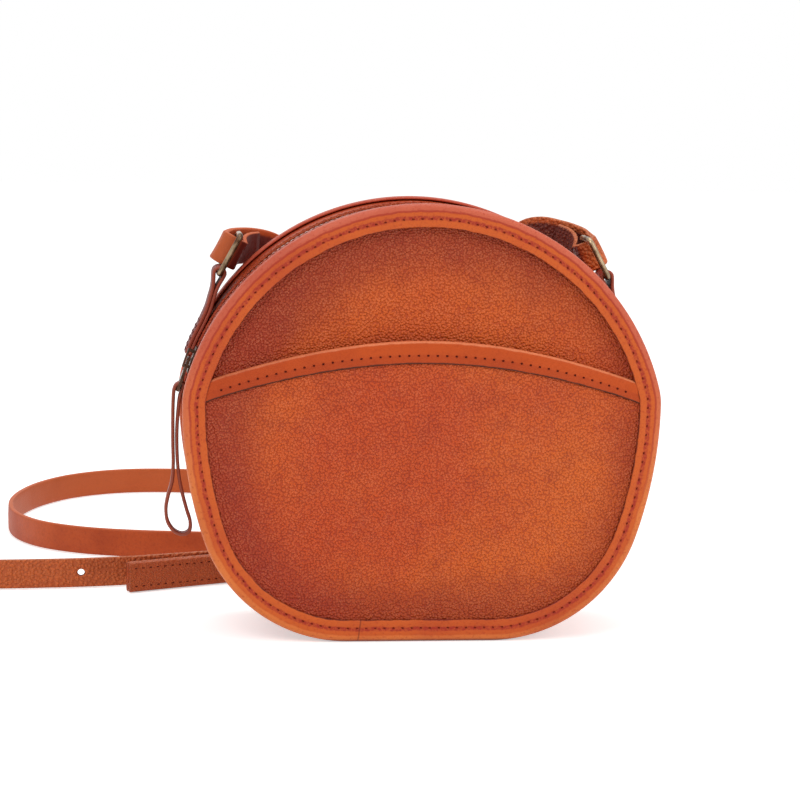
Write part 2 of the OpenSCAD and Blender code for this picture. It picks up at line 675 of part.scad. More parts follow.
// Tab: a strip folded round a ring's near bar, both ends sewn on the gusset
module ring_tab() {
    bar = [ring_x, ring_z];
    seat_r = crown_r - skin_inset;
    foot = [0, crown_z] + (seat_r + tab_ply_t) * [sin(tab_from_a), cos(tab_from_a)];
    neck = unit(foot - bar);
    across = tab_ply_t * [-neck[1], neck[0]];
    color("sienna") stand() translate([0, 0, ring_y - strap_w / 2]) linear_extrude(strap_w) difference() {
        union() {
            translate(bar) circle(tab_bore_r + tab_ply_t, $fn = turn_fn);
            polygon([bar + across, bar - across, foot - across, foot + across]);
            intersection() {
                translate([0, crown_z]) difference() {
                    circle(seat_r + 2 * tab_ply_t, $fn = 2 * turn_fn);
                    circle(seat_r, $fn = 2 * turn_fn);
                }
                translate([0, crown_z]) polygon([
                    [0, 0], 2 * crown_r * [sin(tab_from_a), cos(tab_from_a)],
                    2 * crown_r * [sin(tab_to_a), cos(tab_to_a)]
                ]);
            }
        }
        translate(bar) circle(tab_bore_r, $fn = turn_fn);
    }
}
module ring_tab_right() {
    ring_tab();
}
module ring_tab_left() {
    mirror([1, 0, 0]) ring_tab();
}

// Straps
module strap_short() {
    color("chocolate") difference() {
        strip(concat(STRAP_SHORT, STRAP_END), strap_w, strap_t);
        // The fold round the buckle's bar is slotted for the prong
        translate([buckle_x - 2 * strap_t, buckle_y - 3 * strap_t, buckle_z - prong_slot_h / 2])
            cube([5 * strap_t, 4 * strap_t, prong_slot_h]);
    }
}
module strap_backing() {
    route = [
        for (i = [0 : len(STRAP_END) - 1])
            let (
                last = len(STRAP_END) - 1,
                along = unit(STRAP_END[min(i + 1, last)][0] - STRAP_END[max(i - 1, 0)][0]),
                back = unit(cross(along, STRAP_END[i][1]))
            )
            [STRAP_END[i][0] + (strap_t + seat_gap) * back, STRAP_END[i][1]]
    ];
    color("chocolate") strip(route, strap_w, strap_t);
}
module strap_long() {
    color("chocolate") difference() {
        strip(STRAP_LONG, strap_w, strap_t);
        translate(hole_at) rotate([90, 0, 0])
            cylinder(h = 2 * (strap_t + overrun), r = hole_r, center = true, $fn = 32);
    }
}
module strap_keeper() {
    wall = keeper_t * [0, 1, 1];
    color("sienna") difference() {
        translate(keeper_from - wall) cube(keeper_size + 2 * wall);
        translate(keeper_from - overrun * [1, 0, 0]) cube(keeper_size + 2 * overrun * [1, 0, 0]);
    }
}

// Buckle
module buckle_frame() {
    color("darkgoldenrod") translate([buckle_x, buckle_y, buckle_z]) wire_frame(buckle_l, buckle_in_w);
}
module buckle_prong() {
    color("darkgoldenrod") translate([buckle_x, buckle_y, buckle_z]) difference() {
        union() {
            cylinder(h = prong_eye_t, r = prong_eye_r + prong_r, center = true, $fn = 48);
            rotate(-prong_rest_a) rotate([0, 90, 0]) cylinder(h = buckle_l + wire_r, r = prong_r, $fn = 32);
            rotate(-prong_rest_a) translate([buckle_l + wire_r, 0, 0]) sphere(prong_r, $fn = 32);
        }
        cylinder(h = prong_eye_t + 2 * overrun, r = prong_eye_r, center = true, $fn = 48);
    }
}

front_panel();
pocket_panel();
pocket_band();
front_binding();
back_panel();
back_binding();
lower_gusset();
zip_gusset_front();
zip_gusset_back();
zip_tape_front();
zip_tape_back();
zip_teeth_front();
zip_teeth_back();
zip_stops();
zip_slider();
zip_puller();
zip_thong();
ring_tab_left();
ring_tab_right();
ring_left();
ring_right();
strap_short();
strap_backing();
strap_long();
strap_keeper();
buckle_frame();
buckle_prong();
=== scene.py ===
from math import atan2, ceil, cos, degrees, exp, hypot, pi, radians, sin, sqrt

import bmesh
import bpy
from bpy.props import FloatProperty, FloatVectorProperty, PointerProperty
from mathutils import Matrix, Vector, noise


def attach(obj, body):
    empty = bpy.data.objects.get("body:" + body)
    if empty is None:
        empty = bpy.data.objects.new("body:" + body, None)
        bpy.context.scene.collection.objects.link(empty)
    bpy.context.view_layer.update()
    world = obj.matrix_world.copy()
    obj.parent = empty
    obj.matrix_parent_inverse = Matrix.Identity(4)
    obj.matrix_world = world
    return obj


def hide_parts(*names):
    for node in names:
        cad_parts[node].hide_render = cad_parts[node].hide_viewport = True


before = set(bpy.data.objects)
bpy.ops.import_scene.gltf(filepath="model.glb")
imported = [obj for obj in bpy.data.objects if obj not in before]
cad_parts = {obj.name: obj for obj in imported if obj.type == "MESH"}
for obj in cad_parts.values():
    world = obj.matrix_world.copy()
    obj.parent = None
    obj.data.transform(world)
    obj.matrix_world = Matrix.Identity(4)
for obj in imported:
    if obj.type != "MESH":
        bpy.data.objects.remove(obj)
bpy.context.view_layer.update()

bl_info = {
    "name": "Circle Bag",
    "version": (1, 0, 0),
    "blender": (4, 5, 0),
    "location": "3D View > Sidebar > Circle Bag",
    "description": "Builds a round leather shoulder bag with its straps, zip and stage",
    "category": "Object",
}

MM = 0.001

# Sizes of the bag, in millimetres and degrees, as the CAD model has them
BAG_W = 209.0
BAG_H = 191.5
FACE_Y = 33.0
HIP_R = 30.0
HIP_A = 15.0
SIDE_SHARE = 0.885
CORNER_SHARE = 0.32
SIDE_R = SIDE_SHARE * BAG_W
CORNER_R = CORNER_SHARE * BAG_W
SKIN_INSET = 1.5
PANEL_T = 1.8
POCKET_T = 1.6
BINDING_T = 1.2
BINDING_FACE_W = 10.0
MOUTH_H = 132.0
MOUTH_R = 248.0
POCKET_BULGE = 7.0
LANE_W = 14.0
RING_Y = 17.7
STRAP_W = 14.0
STRAP_T = 2.5
RING_A = 50.2
RING_RISE = 6.5
TAB_PLY_T = 1.6
TAB_W = 14.0
TAB_FOOT_A = 60
TAB_SEWN_A = (62.5, 65, 67.5, 70)
TAB_HOLLOW_R = 1.6
THONG_W = 5.5
THONG_T = 1.5
# Where the binding's two ends overlap, and the hole in the strap's free end
LAP_X = -27.5
HOLE_AT = (-149.0, 80.9, 7.7)
HOLE_R = 1.7
PUNCH_REACH = 6.0
# The keeper's opening beside the buckle
KEEPER_FROM = Vector((2, 109.1, 3.3))
KEEPER_SIZE = Vector((8, 11.6, 15.4))

# Finer sizes that only this scene has, such as insets from the outline and the depths of stitches
PANEL_MIDDLE = Vector((0, 96))
FILL_FROM = 9.5
FILL_TO = 62.0
SWELL_FROM = 12.0
SWELL_TO = 30.0
CREASE_INSET = 12.5
CREASE_W = 3.5
BAND_END_INSET = 9.4
BAND_STITCH_DROP = 4.9
BAND_STITCH_LIFT = 0.9
BAND_STITCH_INSET = 10.3
BAND_STITCH_SHORT = 1.5
BINDING_ROLL_R = 3.0
BINDING_STITCH_INSET = 6.4
BINDING_STITCH_SINK = 0.14
LAP_RISE = 0.45
LAP_FADE = 7.0
LAP_MAX_H = 15.0
STITCH_SINK = 0.18
EDGE_DIP = 0.25
ZIP_GUSSET_DIP = 0.5
STRAP_CURL = 0.28
STRAP_STITCH_OFFSET = 4.3
STRAP_STITCH_SINK = 0.1
STRAP_SEWN_FROM = 4
STRAP_SEWN_TO = 130
PLY_GAP = 0.3
KEEPER_T = 1.6
KEEPER_CORNER_R = 2.0
ZIP_STITCH_W = 2.2
TAPE_FROM = 2.5
TAPE_TO = 14.0
ZIP_END_INSET = 4.6
ZIP_END_HALF_W = 13.0
ZIP_END_T = 1.2

# Finishes of the straps: grains in metres, and where the sewn end starts, in millimetres along
STRAP_GRAIN = 0.0011
TAIL_GRAIN = 0.0016
SEWN_END_FROM = 1026.0

# Camera and lamps, in metres and degrees
CAMERA_AT = Vector((-0.1308, -1.033, 0.2473))
CAMERA_YAW = 6.83
CAMERA_PITCH = 7.93
CAMERA_ROLL = 1.14
AIM_AT = Vector((0, 0, 0.1))
WHITE = (1, 1, 1, 1)
PAPER = (0.93, 0.93, 0.93, 1)
WORLD_STRENGTH = 0.6
PAPER_GLOW = 0.5
# Each lamp's name, place, size, and power as a share of the key light's
LAMPS = (
    ("Key light", (-0.9, -1.3, 1.7), 1.2, 1.0),
    ("Fill light", (1.4, -1.0, 1.0), 1.4, 0.6),
    ("Top light", (0.1, 0.3, 1.9), 1.6, 0.8),
)
# Half the floor's width, in millimetres
FLOOR_HALF = 4000.0

CROWN_R = (BAG_W / 2 - HIP_R) / cos(radians(HIP_A)) + HIP_R
CROWN_Z = BAG_H - CROWN_R
HIP_X = BAG_W / 2 - HIP_R
HIP_Z = CROWN_Z + (CROWN_R - HIP_R) * sin(radians(HIP_A))
SIDE_X = SIDE_R - BAG_W / 2
FLAT_X = sqrt((SIDE_R - CORNER_R) ** 2 - (HIP_Z - CORNER_R) ** 2) - SIDE_X
SIDE_A = degrees(atan2(HIP_Z - CORNER_R, FLAT_X + SIDE_X))
MOUTH_C = MOUTH_H - MOUTH_R
# Depths at which the gussets meet the front and the back panel
FRONT_SEAM_Y = BINDING_T + POCKET_T + PANEL_T - FACE_Y
BACK_SEAM_Y = FACE_Y - BINDING_T - PANEL_T
# Centre, radius, first angle and turn of each arc of the outline
ARCS = (
    (0, CROWN_Z, CROWN_R, HIP_A, 180 - 2 * HIP_A),
    (-HIP_X, HIP_Z, HIP_R, 180 - HIP_A, HIP_A),
    (SIDE_X, HIP_Z, SIDE_R, 180, SIDE_A),
    (-FLAT_X, CORNER_R, CORNER_R, 180 + SIDE_A, 90 - SIDE_A),
    (FLAT_X, CORNER_R, CORNER_R, 270, 90 - SIDE_A),
    (-SIDE_X, HIP_Z, SIDE_R, 360 - SIDE_A, SIDE_A),
    (HIP_X, HIP_Z, HIP_R, 0, HIP_A),
)
# The arcs under the bag from hip to hip, and those over it, by their place in the list
LOWER_ARCS = range(2, 6)
UPPER_ARCS = (6, 0, 1)


def polar(r, a):
    """The two coordinates of a place at radius r and angle a."""
    return r * cos(radians(a)), r * sin(radians(a))


def along_arc(arc, spacing):
    """Points of one arc of the outline, about spacing apart: place, outward normal."""
    cx, cz, r, start, turn = arc
    count = max(2, ceil(radians(turn) * r / spacing))
    out = []
    for i in range(count + 1):
        nx, nz = polar(1, start + turn * i / count)
        out.append((Vector((cx + r * nx, cz + r * nz)), Vector((nx, nz))))
    return out


def outline(spacing, arcs=range(7)):
    """The closed outline, or a run of its arcs, as places and outward normals."""
    out = []
    for k in arcs:
        rows = along_arc(ARCS[k], spacing)
        out += rows if not out else rows[1:]
        if k == 3 and 4 in arcs:
            steps = ceil(2 * FLAT_X / spacing)
            for i in range(1, steps + 1):
                out.append((Vector((-FLAT_X + 2 * FLAT_X * i / steps, 0)), Vector((0, -1))))
    return out[:-1] if len(arcs) == 7 else out


def half_w(h, inset=0.0):
    """Half the width of the outline at a height, drawn in by an inset."""
    if h >= HIP_Z + (HIP_R - inset) * sin(radians(HIP_A)):
        return sqrt(max(0, (CROWN_R - inset) ** 2 - (h - CROWN_Z) ** 2))
    if h >= HIP_Z:
        return HIP_X + sqrt((HIP_R - inset) ** 2 - (h - HIP_Z) ** 2)
    if h >= HIP_Z - (SIDE_R - inset) * sin(radians(SIDE_A)):
        return sqrt((SIDE_R - inset) ** 2 - (h - HIP_Z) ** 2) - SIDE_X
    return FLAT_X + sqrt(max(0, (CORNER_R - inset) ** 2 - (CORNER_R - h) ** 2))


def edge_distance(x, h):
    """How far a place on a panel lies inside the outline."""
    best = 1000.0
    for cx, cz, r, start, turn in ARCS:
        a = degrees(atan2(h - cz, x - cx)) % 360
        if (a - start) % 360 <= turn:
            best = min(best, r - hypot(x - cx, h - cz))
    if abs(x) <= FLAT_X:
        best = min(best, h)
    return best if best < 1000 else min(h, half_w(max(h, 0.01)) - abs(x))


def mouth_at(x):
    """Height of the pocket's mouth at a place across the bag."""
    return MOUTH_C + sqrt(MOUTH_R ** 2 - x * x)


def soft(x, edge0, edge1):
    """Smooth step from 0 at edge0 to 1 at edge1."""
    t = min(1, max(0, (x - edge0) / (edge1 - edge0)))
    return t * t * (3 - 2 * t)


def wander(x, y, z, size, amount, seed=0.0):
    """Smooth noise about zero, in millimetres, with features of the given size."""
    return amount * noise.noise(Vector((x / size + seed, y / size - seed, z / size + 3 * seed)))


# Meshes, drawn in millimetres and kept in metres
def new_mesh(name, points, faces, material, layers=None, smooth=True):
    """An object of the given faces, with a value for each point in every layer."""
    mesh = bpy.data.meshes.new(name)
    mesh.from_pydata([Vector(p) * MM for p in points], [], faces)
    for layer, values in (layers or {}).items():
        attribute = mesh.attributes.new(layer, "FLOAT", "POINT")
        attribute.data.foreach_set("value", values)
    mesh.validate()
    bm = bmesh.new()
    bm.from_mesh(mesh)
    bmesh.ops.recalc_face_normals(bm, faces=bm.faces)
    bm.to_mesh(mesh)
    bm.free()
    mesh.materials.append(material)
    mesh.polygons.foreach_set("use_smooth", [smooth] * len(mesh.polygons))
    piece = bpy.data.objects.new(name, mesh)
    bpy.context.scene.collection.objects.link(piece)
    return piece


def tube_faces(rings, sides, closed=False):
    """Quads between rings of points, with one flat face over each end of an open tube."""
    faces = []
    for i in range(rings if closed else rings - 1):
        n = (i + 1) % rings
        for j in range(sides):
            k = (j + 1) % sides
            faces.append((i * sides + j, i * sides + k, n * sides + k, n * sides + j))
    if not closed:
        faces.append(tuple(range(sides)))
        faces.append(tuple((rings - 1) * sides + j for j in reversed(range(sides))))
    return faces


def smooth_path(places, spacing, closed=False):
    """Points about spacing apart on a centripetal spline through places of any dimension."""
    pts = [Vector(p) for p in places]
    count = len(pts)
    out = []
    for i in range(count if closed else count - 1):
        if closed:
            p0, p1, p2, p3 = (pts[(i + k) % count] for k in (-1, 0, 1, 2))
        else:
            p1, p2 = pts[i], pts[i + 1]
            p0 = pts[i - 1] if i else p1 * 2 - p2
            p3 = pts[i + 2] if i + 2 < count else p2 * 2 - p1
        gaps = [max(1e-4, sqrt((b - a).length)) for a, b in ((p0, p1), (p1, p2), (p2, p3))]
        t1, t2, t3 = gaps[0], gaps[0] + gaps[1], sum(gaps)
        steps = max(1, ceil((p2 - p1).length / spacing))
        for s in range(steps):
            t = t1 + (t2 - t1) * s / steps
            a1 = p0 * ((t1 - t) / t1) + p1 * (t / t1)
            a2 = p1 * ((t2 - t) / (t2 - t1)) + p2 * ((t - t1) / (t2 - t1))
            a3 = p2 * ((t3 - t) / (t3 - t2)) + p3 * ((t - t2) / (t3 - t2))
            b1 = a1 * ((t2 - t) / t2) + a2 * (t / t2)
            b2 = a2 * ((t3 - t) / (t3 - t1)) + a3 * ((t - t1) / (t3 - t1))
            out.append(b1 * ((t2 - t) / (t2 - t1)) + b2 * ((t - t1) / (t2 - t1)))
    if not closed:
        out.append(pts[-1])
    return out


def frames(path, widths, closed=False):
    """A strip's directions at each point of its path: along its width, and out of its face."""
    out = []
    count = len(path)
    for i, p in enumerate(path):
        a = path[(i - 1) % count] if closed or i else p
        b = path[(i + 1) % count] if closed or i + 1 < count else p
        along = (b - a).normalized()
        face = along.cross(widths[i]).normalized()
        out.append((face.cross(along).normalized(), face))
    return out


def strip_profile(w, t):
    """Cross-section of a leather strip with softened edges, as places across and through it."""
    edge_steps = 3
    half, r = w / 2, min(t * 0.42, 0.9)
    flat = [-half + r + (w - 2 * r) * i / 8 for i in range(9)]
    top = [(x, t / 2) for x in flat]
    corner = [polar(r, 90 - 90 * i / edge_steps) for i in range(1, edge_steps + 1)]
    right = [(half - r + c[0], t / 2 - r + c[1]) for c in corner]
    lower = [(half - r + c[0], r - t / 2 - c[1]) for c in reversed(corner)]
    bottom = [(x, -t / 2) for x in reversed(flat)]
    return top + right + lower + bottom + [(-p[0], p[1]) for p in reversed(right + lower)]


# Materials
class Nodes:
    """A node tree, with short calls that add to it."""

    def __init__(self, tree):
        self.tree = tree

    def fill(self, sockets, values):
        """Fills sockets, each with a number or with another node's output."""
        for key, value in values.items():
            if isinstance(value, bpy.types.NodeSocket):
                self.tree.links.new(value, sockets[key])
            else:
                sockets[key].default_value = value

    def add(self, kind, values=None, **settings):
        """A node of a kind, with its settings and the values of its inputs."""
        node = self.tree.nodes.new(kind)
        for key, value in settings.items():
            setattr(node, key, value)
        self.fill(node.inputs, values or {})
        return node

    def math(self, operation, a, b=0.0):
        return self.add("ShaderNodeMath", {0: a, 1: b}, operation=operation).outputs[0]

    def seen_rays(self):
        """1 for the rays that show the background: to the camera, and by way of metal or glass."""
        path = self.add("ShaderNodeLightPath").outputs
        seen = self.math("MAXIMUM", path["Is Camera Ray"], path["Is Glossy Ray"])
        return self.math("MAXIMUM", seen, path["Is Transmission Ray"])


class Finish(Nodes):
    """A procedural material: its node tree, and short calls for what its finish needs."""

    def __init__(self, name):
        self.material = bpy.data.materials.new(name)
        self.material.use_nodes = True
        super().__init__(self.material.node_tree)
        self.shader = next(n for n in self.tree.nodes if n.type == "BSDF_PRINCIPLED")
        self.place = self.add("ShaderNodeTexCoord").outputs["Object"]

    def noise(self, scale, detail=2.0, rough=0.5):
        values = {"Vector": self.place, "Scale": scale, "Detail": detail, "Roughness": rough}
        return self.add("ShaderNodeTexNoise", values).outputs["Fac"]

    def cells(self, scale, flat, place):
        """Distance to a cell's middle; flat cells lie in the XZ plane, and the others fill space."""
        if not flat:
            values = {"Vector": place, "Scale": scale}
            return self.add("ShaderNodeTexVoronoi", values).outputs["Distance"]
        turned = {"Vector": place, "Rotation": (radians(-90), 0, 0)}
        values = {"Vector": self.add("ShaderNodeMapping", turned).outputs[0], "Scale": scale}
        return self.add("ShaderNodeTexVoronoi", values, voronoi_dimensions="2D").outputs["Distance"]

    def span(self, value, low, high, to_low=0.0, to_high=1.0):
        """Smooth step of a value from low to high, given as to_low to to_high."""
        values = {0: value, 1: low, 2: high, 3: to_low, 4: to_high}
        return self.add("ShaderNodeMapRange", values, interpolation_type="SMOOTHSTEP").outputs[0]

    def layer(self, name):
        """A value that the mesh keeps at each of its points."""
        return self.add("ShaderNodeAttribute", attribute_name=name).outputs["Fac"]

    def blend(self, share, a, b):
        """Colour a, with a share of colour b laid over it."""
        return self.add("ShaderNodeMix", {0: share, 6: a, 7: b}, data_type="RGBA").outputs[2]

    def bump(self, height, strength, distance, normal=None):
        values = {"Height": height, "Strength": strength, "Distance": distance}
        if normal:
            values["Normal"] = normal
        return self.add("ShaderNodeBump", values).outputs[0]

    def set(self, **values):
        """Fills the shader's own sockets, and gives the finished material."""
        self.fill(self.shader.inputs, {key.replace("_", " "): value for key, value in values.items()})
        return self.material


def srgb(r, g, b):
    """A colour given as screen values from 0 to 255, as the shaders want it."""
    shares = (r / 255, g / 255, b / 255)
    line = [c / 12.92 if c <= 0.04045 else ((c + 0.055) / 1.055) ** 2.4 for c in shares]
    return (*line, 1.0)


# Colour of the painted shade on the strap's hollow side where it folds round its ring
FOLD_SHADE_COLOUR = srgb(84, 24, 26)
# Painted light towards the bag's right side: how much the clouds gain, and the width of the burnish and
# its painted shade loses in millimetres, for each metre to the right
PAINTED_LIGHT_TO_RIGHT = 1.3
SHADE_NARROWER_TO_RIGHT = 90.0


def pebbled(f, grain, flat):
    """Pebbles of about one grain: their tops, and the pits between them, as shares from 0 to 1."""
    warp = f.add("ShaderNodeTexNoise", {"Vector": f.place, "Scale": 0.6 / grain, "Detail": 1.0})
    push = {0: warp.outputs["Color"], "Scale": 0.3 * grain}
    bent = f.add("ShaderNodeVectorMath", push, operation="SCALE").outputs[0]
    place = f.add("ShaderNodeVectorMath", {0: f.place, 1: bent}, operation="ADD").outputs[0]
    pebbles = f.cells(1 / grain, flat, place)
    return f.span(pebbles, 0.08, 0.42, 1.0, 0.0), f.span(pebbles, 0.38, 0.74)


def leather(name, base, dark, light, pebble_highlight, grain, flat=True, burnish_and_shade=None):
    """Drum-dyed leather: pebbles of about one grain with painted highlights on their tops, soft clouds
    of colour, and burnished edges deepened by painted shade.

    The dark edge's three numbers say how far from its seam the burnish and its painted shade start and
    end, in millimetres, and their most.
    As painted light, the bag's right side is paler than its left, and its dark edge of painted shade is
    narrower.
    """
    f = Finish(name)
    tops, pits = pebbled(f, grain, flat)
    x = f.add("ShaderNodeSeparateXYZ", {0: f.place}).outputs[0]
    # Painted light: the clouds grow paler towards the bag's right side
    clouds = f.math("ADD", f.noise(13, 2.0, 0.5), f.math("MULTIPLY", x, PAINTED_LIGHT_TO_RIGHT))
    wear_and_sheen = f.noise(0.25 / grain, 2.0, 0.5)
    tone = f.blend(f.span(clouds, 0.3, 0.68), base, light)
    tone = f.blend(f.span(f.noise(90, 3.0, 0.6), 0.45, 0.75, 0.0, 0.25), tone, dark)
    if burnish_and_shade:
        near, far, most = burnish_and_shade
        # The dark edge is burnish with painted shade: it wanders at random and, as painted shade,
        # narrows towards the lit right side
        drift = f.math("MULTIPLY", f.noise(20, 2.0, 0.5), -far * 0.9)
        drift = f.math("ADD", drift, f.math("MULTIPLY", x, SHADE_NARROWER_TO_RIGHT))
        share = f.span(f.math("ADD", f.layer("edge"), drift), near - far * 0.45, far * 0.55, most, 0.0)
        tone = f.blend(share, tone, dark)
    # Painted highlight on the pebbles' tops, stronger in random patches that are also less rough
    tone = f.blend(f.math("MULTIPLY", tops, f.span(wear_and_sheen, 0.35, 0.7, 0.04, 0.22)), tone, pebble_highlight)
    tone = f.blend(f.math("MULTIPLY", pits, f.span(wear_and_sheen, 0.3, 0.65, 0.5, 0.3)), tone, dark)
    height = f.math("SUBTRACT", f.math("MULTIPLY", tops, 0.4), pits)
    normal = f.bump(height, 0.8, grain * 0.4)
    normal = f.bump(f.noise(60, 2.0, 0.5), 0.2, 0.002, normal)
    return f.set(Base_Color=tone, Roughness=f.span(wear_and_sheen, 0.3, 0.7, 0.52, 0.42), Normal=normal,
                 Specular_IOR_Level=0.34)


def binding_leather(name, fold, rosy_sheen, crease, strip, dark):
    """Smooth edge leather: a fold with a painted highlight, rosier higher up as painted sheen, and a
    warm strip with a red crease; painted shade lines its crease, inner edge and side, and a painted
    contact shadow its base.
    """
    f = Finish(name)
    inset = f.layer("inset")
    ripple = f.math("MULTIPLY", f.noise(170, 3.0, 0.6), 1.4)
    at = f.math("ADD", inset, f.math("SUBTRACT", ripple, 0.7))
    clouds = f.noise(24, 3.0, 0.55)
    flecks = f.noise(700, 3.0, 0.65)
    x, _, z = f.add("ShaderNodeSeparateXYZ", {0: f.place}).outputs
    # Painted highlight: the fold is paler than the face, and rosier higher up as painted sheen
    tone = f.blend(f.span(z, 0.05, 0.14), fold, rosy_sheen)
    # Painted shade: a dark line in the crease between the fold and the face, stronger higher up
    line = f.span(f.math("ABSOLUTE", f.math("SUBTRACT", at, 3.1)), 0.15, 0.7, 1.0, 0.0)
    face = f.blend(f.span(at, 2.8, 3.6), tone, strip)
    tone = f.blend(f.math("MULTIPLY", line, f.span(z, 0.03, 0.11, 0.1, 0.75)), face, crease)
    sewn = f.span(f.math("ABSOLUTE", f.math("SUBTRACT", at, 6.0)), 0.5, 1.3, 1.0, 0.0)
    tone = f.blend(f.math("MULTIPLY", sewn, f.span(flecks, 0.36, 0.6, 0.35, 1.0)), tone, crease)
    # Painted shade along the inner edge, where the binding meets the panel
    tone = f.blend(f.span(at, 9.5, 10.1), tone, dark)
    tone = f.blend(f.span(clouds, 0.42, 0.72, 0.0, 0.4), tone, crease)
    tone = f.blend(f.span(flecks, 0.52, 0.72, 0.0, 0.45), tone, crease)
    # Painted shade on the binding's side, deeper as it turns down towards the gusset
    tone = f.blend(f.span(f.layer("down"), 3.0, 6.0, 0.0, 0.4), tone, crease)
    slant = f.math("MULTIPLY", z, -0.12)
    lap = f.math("ABSOLUTE", f.math("ADD", f.math("ADD", x, -LAP_X * MM), slant))
    lap = f.span(lap, 0.0001, 0.0005, 0.6, 0.0)
    tone = f.blend(f.math("MULTIPLY", lap, f.span(z, 0.011, 0.012, 1.0, 0.0)), tone, dark)
    # Painted contact shadow over the lowest two millimetres, where the bag stands on the floor
    tone = f.blend(f.span(z, 0.0002, 0.0019, 0.85, 0.0), tone, dark)
    normal = f.bump(flecks, 0.35, 0.0006)
    normal = f.bump(f.noise(130, 3.0, 0.55), 0.3, 0.0015, normal)
    return f.set(Base_Color=tone, Roughness=f.span(flecks, 0.3, 0.7, 0.4, 0.54), Normal=normal,
                 Specular_IOR_Level=0.3)


def band_leather(name, face, top, dark):
    """Smooth leather folded over the pocket's mouth, with a painted highlight along its fold and a
    darker lower edge.
    """
    f = Finish(name)
    edge = f.layer("edge")
    ripple = f.math("MULTIPLY", f.noise(200, 3.0, 0.6), 0.9)
    at = f.math("ADD", edge, f.math("SUBTRACT", ripple, 0.45))
    flecks = f.noise(500, 4.0, 0.65)
    # Painted highlight along the fold over the mouth
    tone = f.blend(f.span(at, 0.5, 1.2), top, face)
    tone = f.blend(f.span(f.noise(22, 3.0, 0.55), 0.42, 0.72, 0.0, 0.35), tone, dark)
    tone = f.blend(f.span(flecks, 0.48, 0.78, 0.0, 0.3), tone, dark)
    tone = f.blend(f.span(at, 5.4, 6.2, 0.0, 0.3), tone, dark)
    tone = f.blend(f.span(at, 8.9, 9.4), tone, srgb(84, 32, 12))
    normal = f.bump(f.noise(800, 4.0, 0.65), 0.3, 0.0006)
    normal = f.bump(f.noise(110, 3.0, 0.55), 0.3, 0.0015, normal)
    return f.set(Base_Color=tone, Roughness=f.span(flecks, 0.3, 0.7, 0.44, 0.56), Normal=normal,
                 Specular_IOR_Level=0.25)


def strap_leather(name, face, dark, edge, flesh, inner=None, hollow_back=True, grain=None,
                  grain_from=0.0):
    """Strap leather: waxed faces, dyed edges and a paler back.

    inner is the colour of the painted shade on the side that shows where the strap folds at its ring,
    hollow_back says whether that side is the back, and grain_from is how far along the pebbles and their
    painted highlights start, in millimetres.
    """
    f = Finish(name)
    across, back, along = f.layer("across"), f.layer("back"), f.layer("along")
    clouds = f.noise(30, 3.0, 0.55)
    tone = f.blend(f.span(clouds, 0.4, 0.75, 0.0, 0.5), face, dark)
    tone = f.blend(f.math("MULTIPLY", f.span(f.noise(700, 4.0, 0.7), 0.42, 0.75), 0.4), tone, dark)
    tone = f.blend(f.math("MULTIPLY", back, 0.6), tone, flesh)
    if inner:
        # Painted shade where the strap folds at its ring: its first plies on both faces, then its hollow
        # side, but not its lit top edge
        ply = f.span(along, 23.0, 26.0, 0.9, 0.0)
        side = back if hollow_back else f.math("SUBTRACT", 1.0, back)
        hollow = f.math("MULTIPLY", f.span(along, 70.0, 100.0, 0.9, 0.0), side)
        hollow = f.math("MULTIPLY", hollow, f.span(across, 0.5, 0.75, 1.0, 0.0))
        tone = f.blend(f.math("MAXIMUM", ply, hollow), tone, inner)
    tone = f.blend(f.span(f.math("ABSOLUTE", across), 0.9, 0.99), tone, edge)
    normal = f.bump(f.noise(1300, 4.0, 0.7), 0.3, 0.0006)
    if grain:
        tops, pits = pebbled(f, grain, False)
        here = f.span(along, grain_from - 6.0, grain_from)
        tone = f.blend(f.math("MULTIPLY", f.math("MULTIPLY", pits, here), 0.3), tone, dark)
        # Painted highlight on the tops of the strap's pebbles
        tone = f.blend(f.math("MULTIPLY", f.math("MULTIPLY", tops, here), 0.35), tone, edge)
        rise = f.math("MULTIPLY", f.math("SUBTRACT", tops, pits), here)
        normal = f.bump(rise, 0.8, grain * 0.35, normal)
    normal = f.bump(f.noise(70, 3.0, 0.55), 0.25, 0.0018, normal)
    return f.set(Base_Color=tone, Roughness=f.span(clouds, 0.3, 0.7, 0.45, 0.56), Normal=normal,
                 Specular_IOR_Level=0.3)


def thread(name, colour, shadow):
    """Waxed thread, twisted from plies that show as slanted ridges."""
    f = Finish(name)
    ridges = f.add("ShaderNodeTexWave", {"Vector": f.place, "Scale": 900.0, "Distortion": 1.5},
                   bands_direction="DIAGONAL").outputs["Fac"]
    tone = f.blend(ridges, shadow, colour)
    normal = f.bump(ridges, 0.5, 0.0002)
    return f.set(Base_Color=tone, Roughness=0.75, Normal=normal, Specular_IOR_Level=0.1)


def metal(name, bright, tarnish, rough, spots=90.0):
    """Plated metal with tarnish in soft patches and fine scuffs."""
    f = Finish(name)
    patches = f.noise(spots, 4.0, 0.6)
    tone = f.blend(f.span(patches, 0.42, 0.66), bright, tarnish)
    normal = f.bump(f.noise(1800, 3.0, 0.6), 0.12, 0.0003)
    return f.set(Base_Color=tone, Metallic=1.0, Normal=normal,
                 Roughness=f.span(patches, 0.35, 0.7, rough, rough + 0.2))


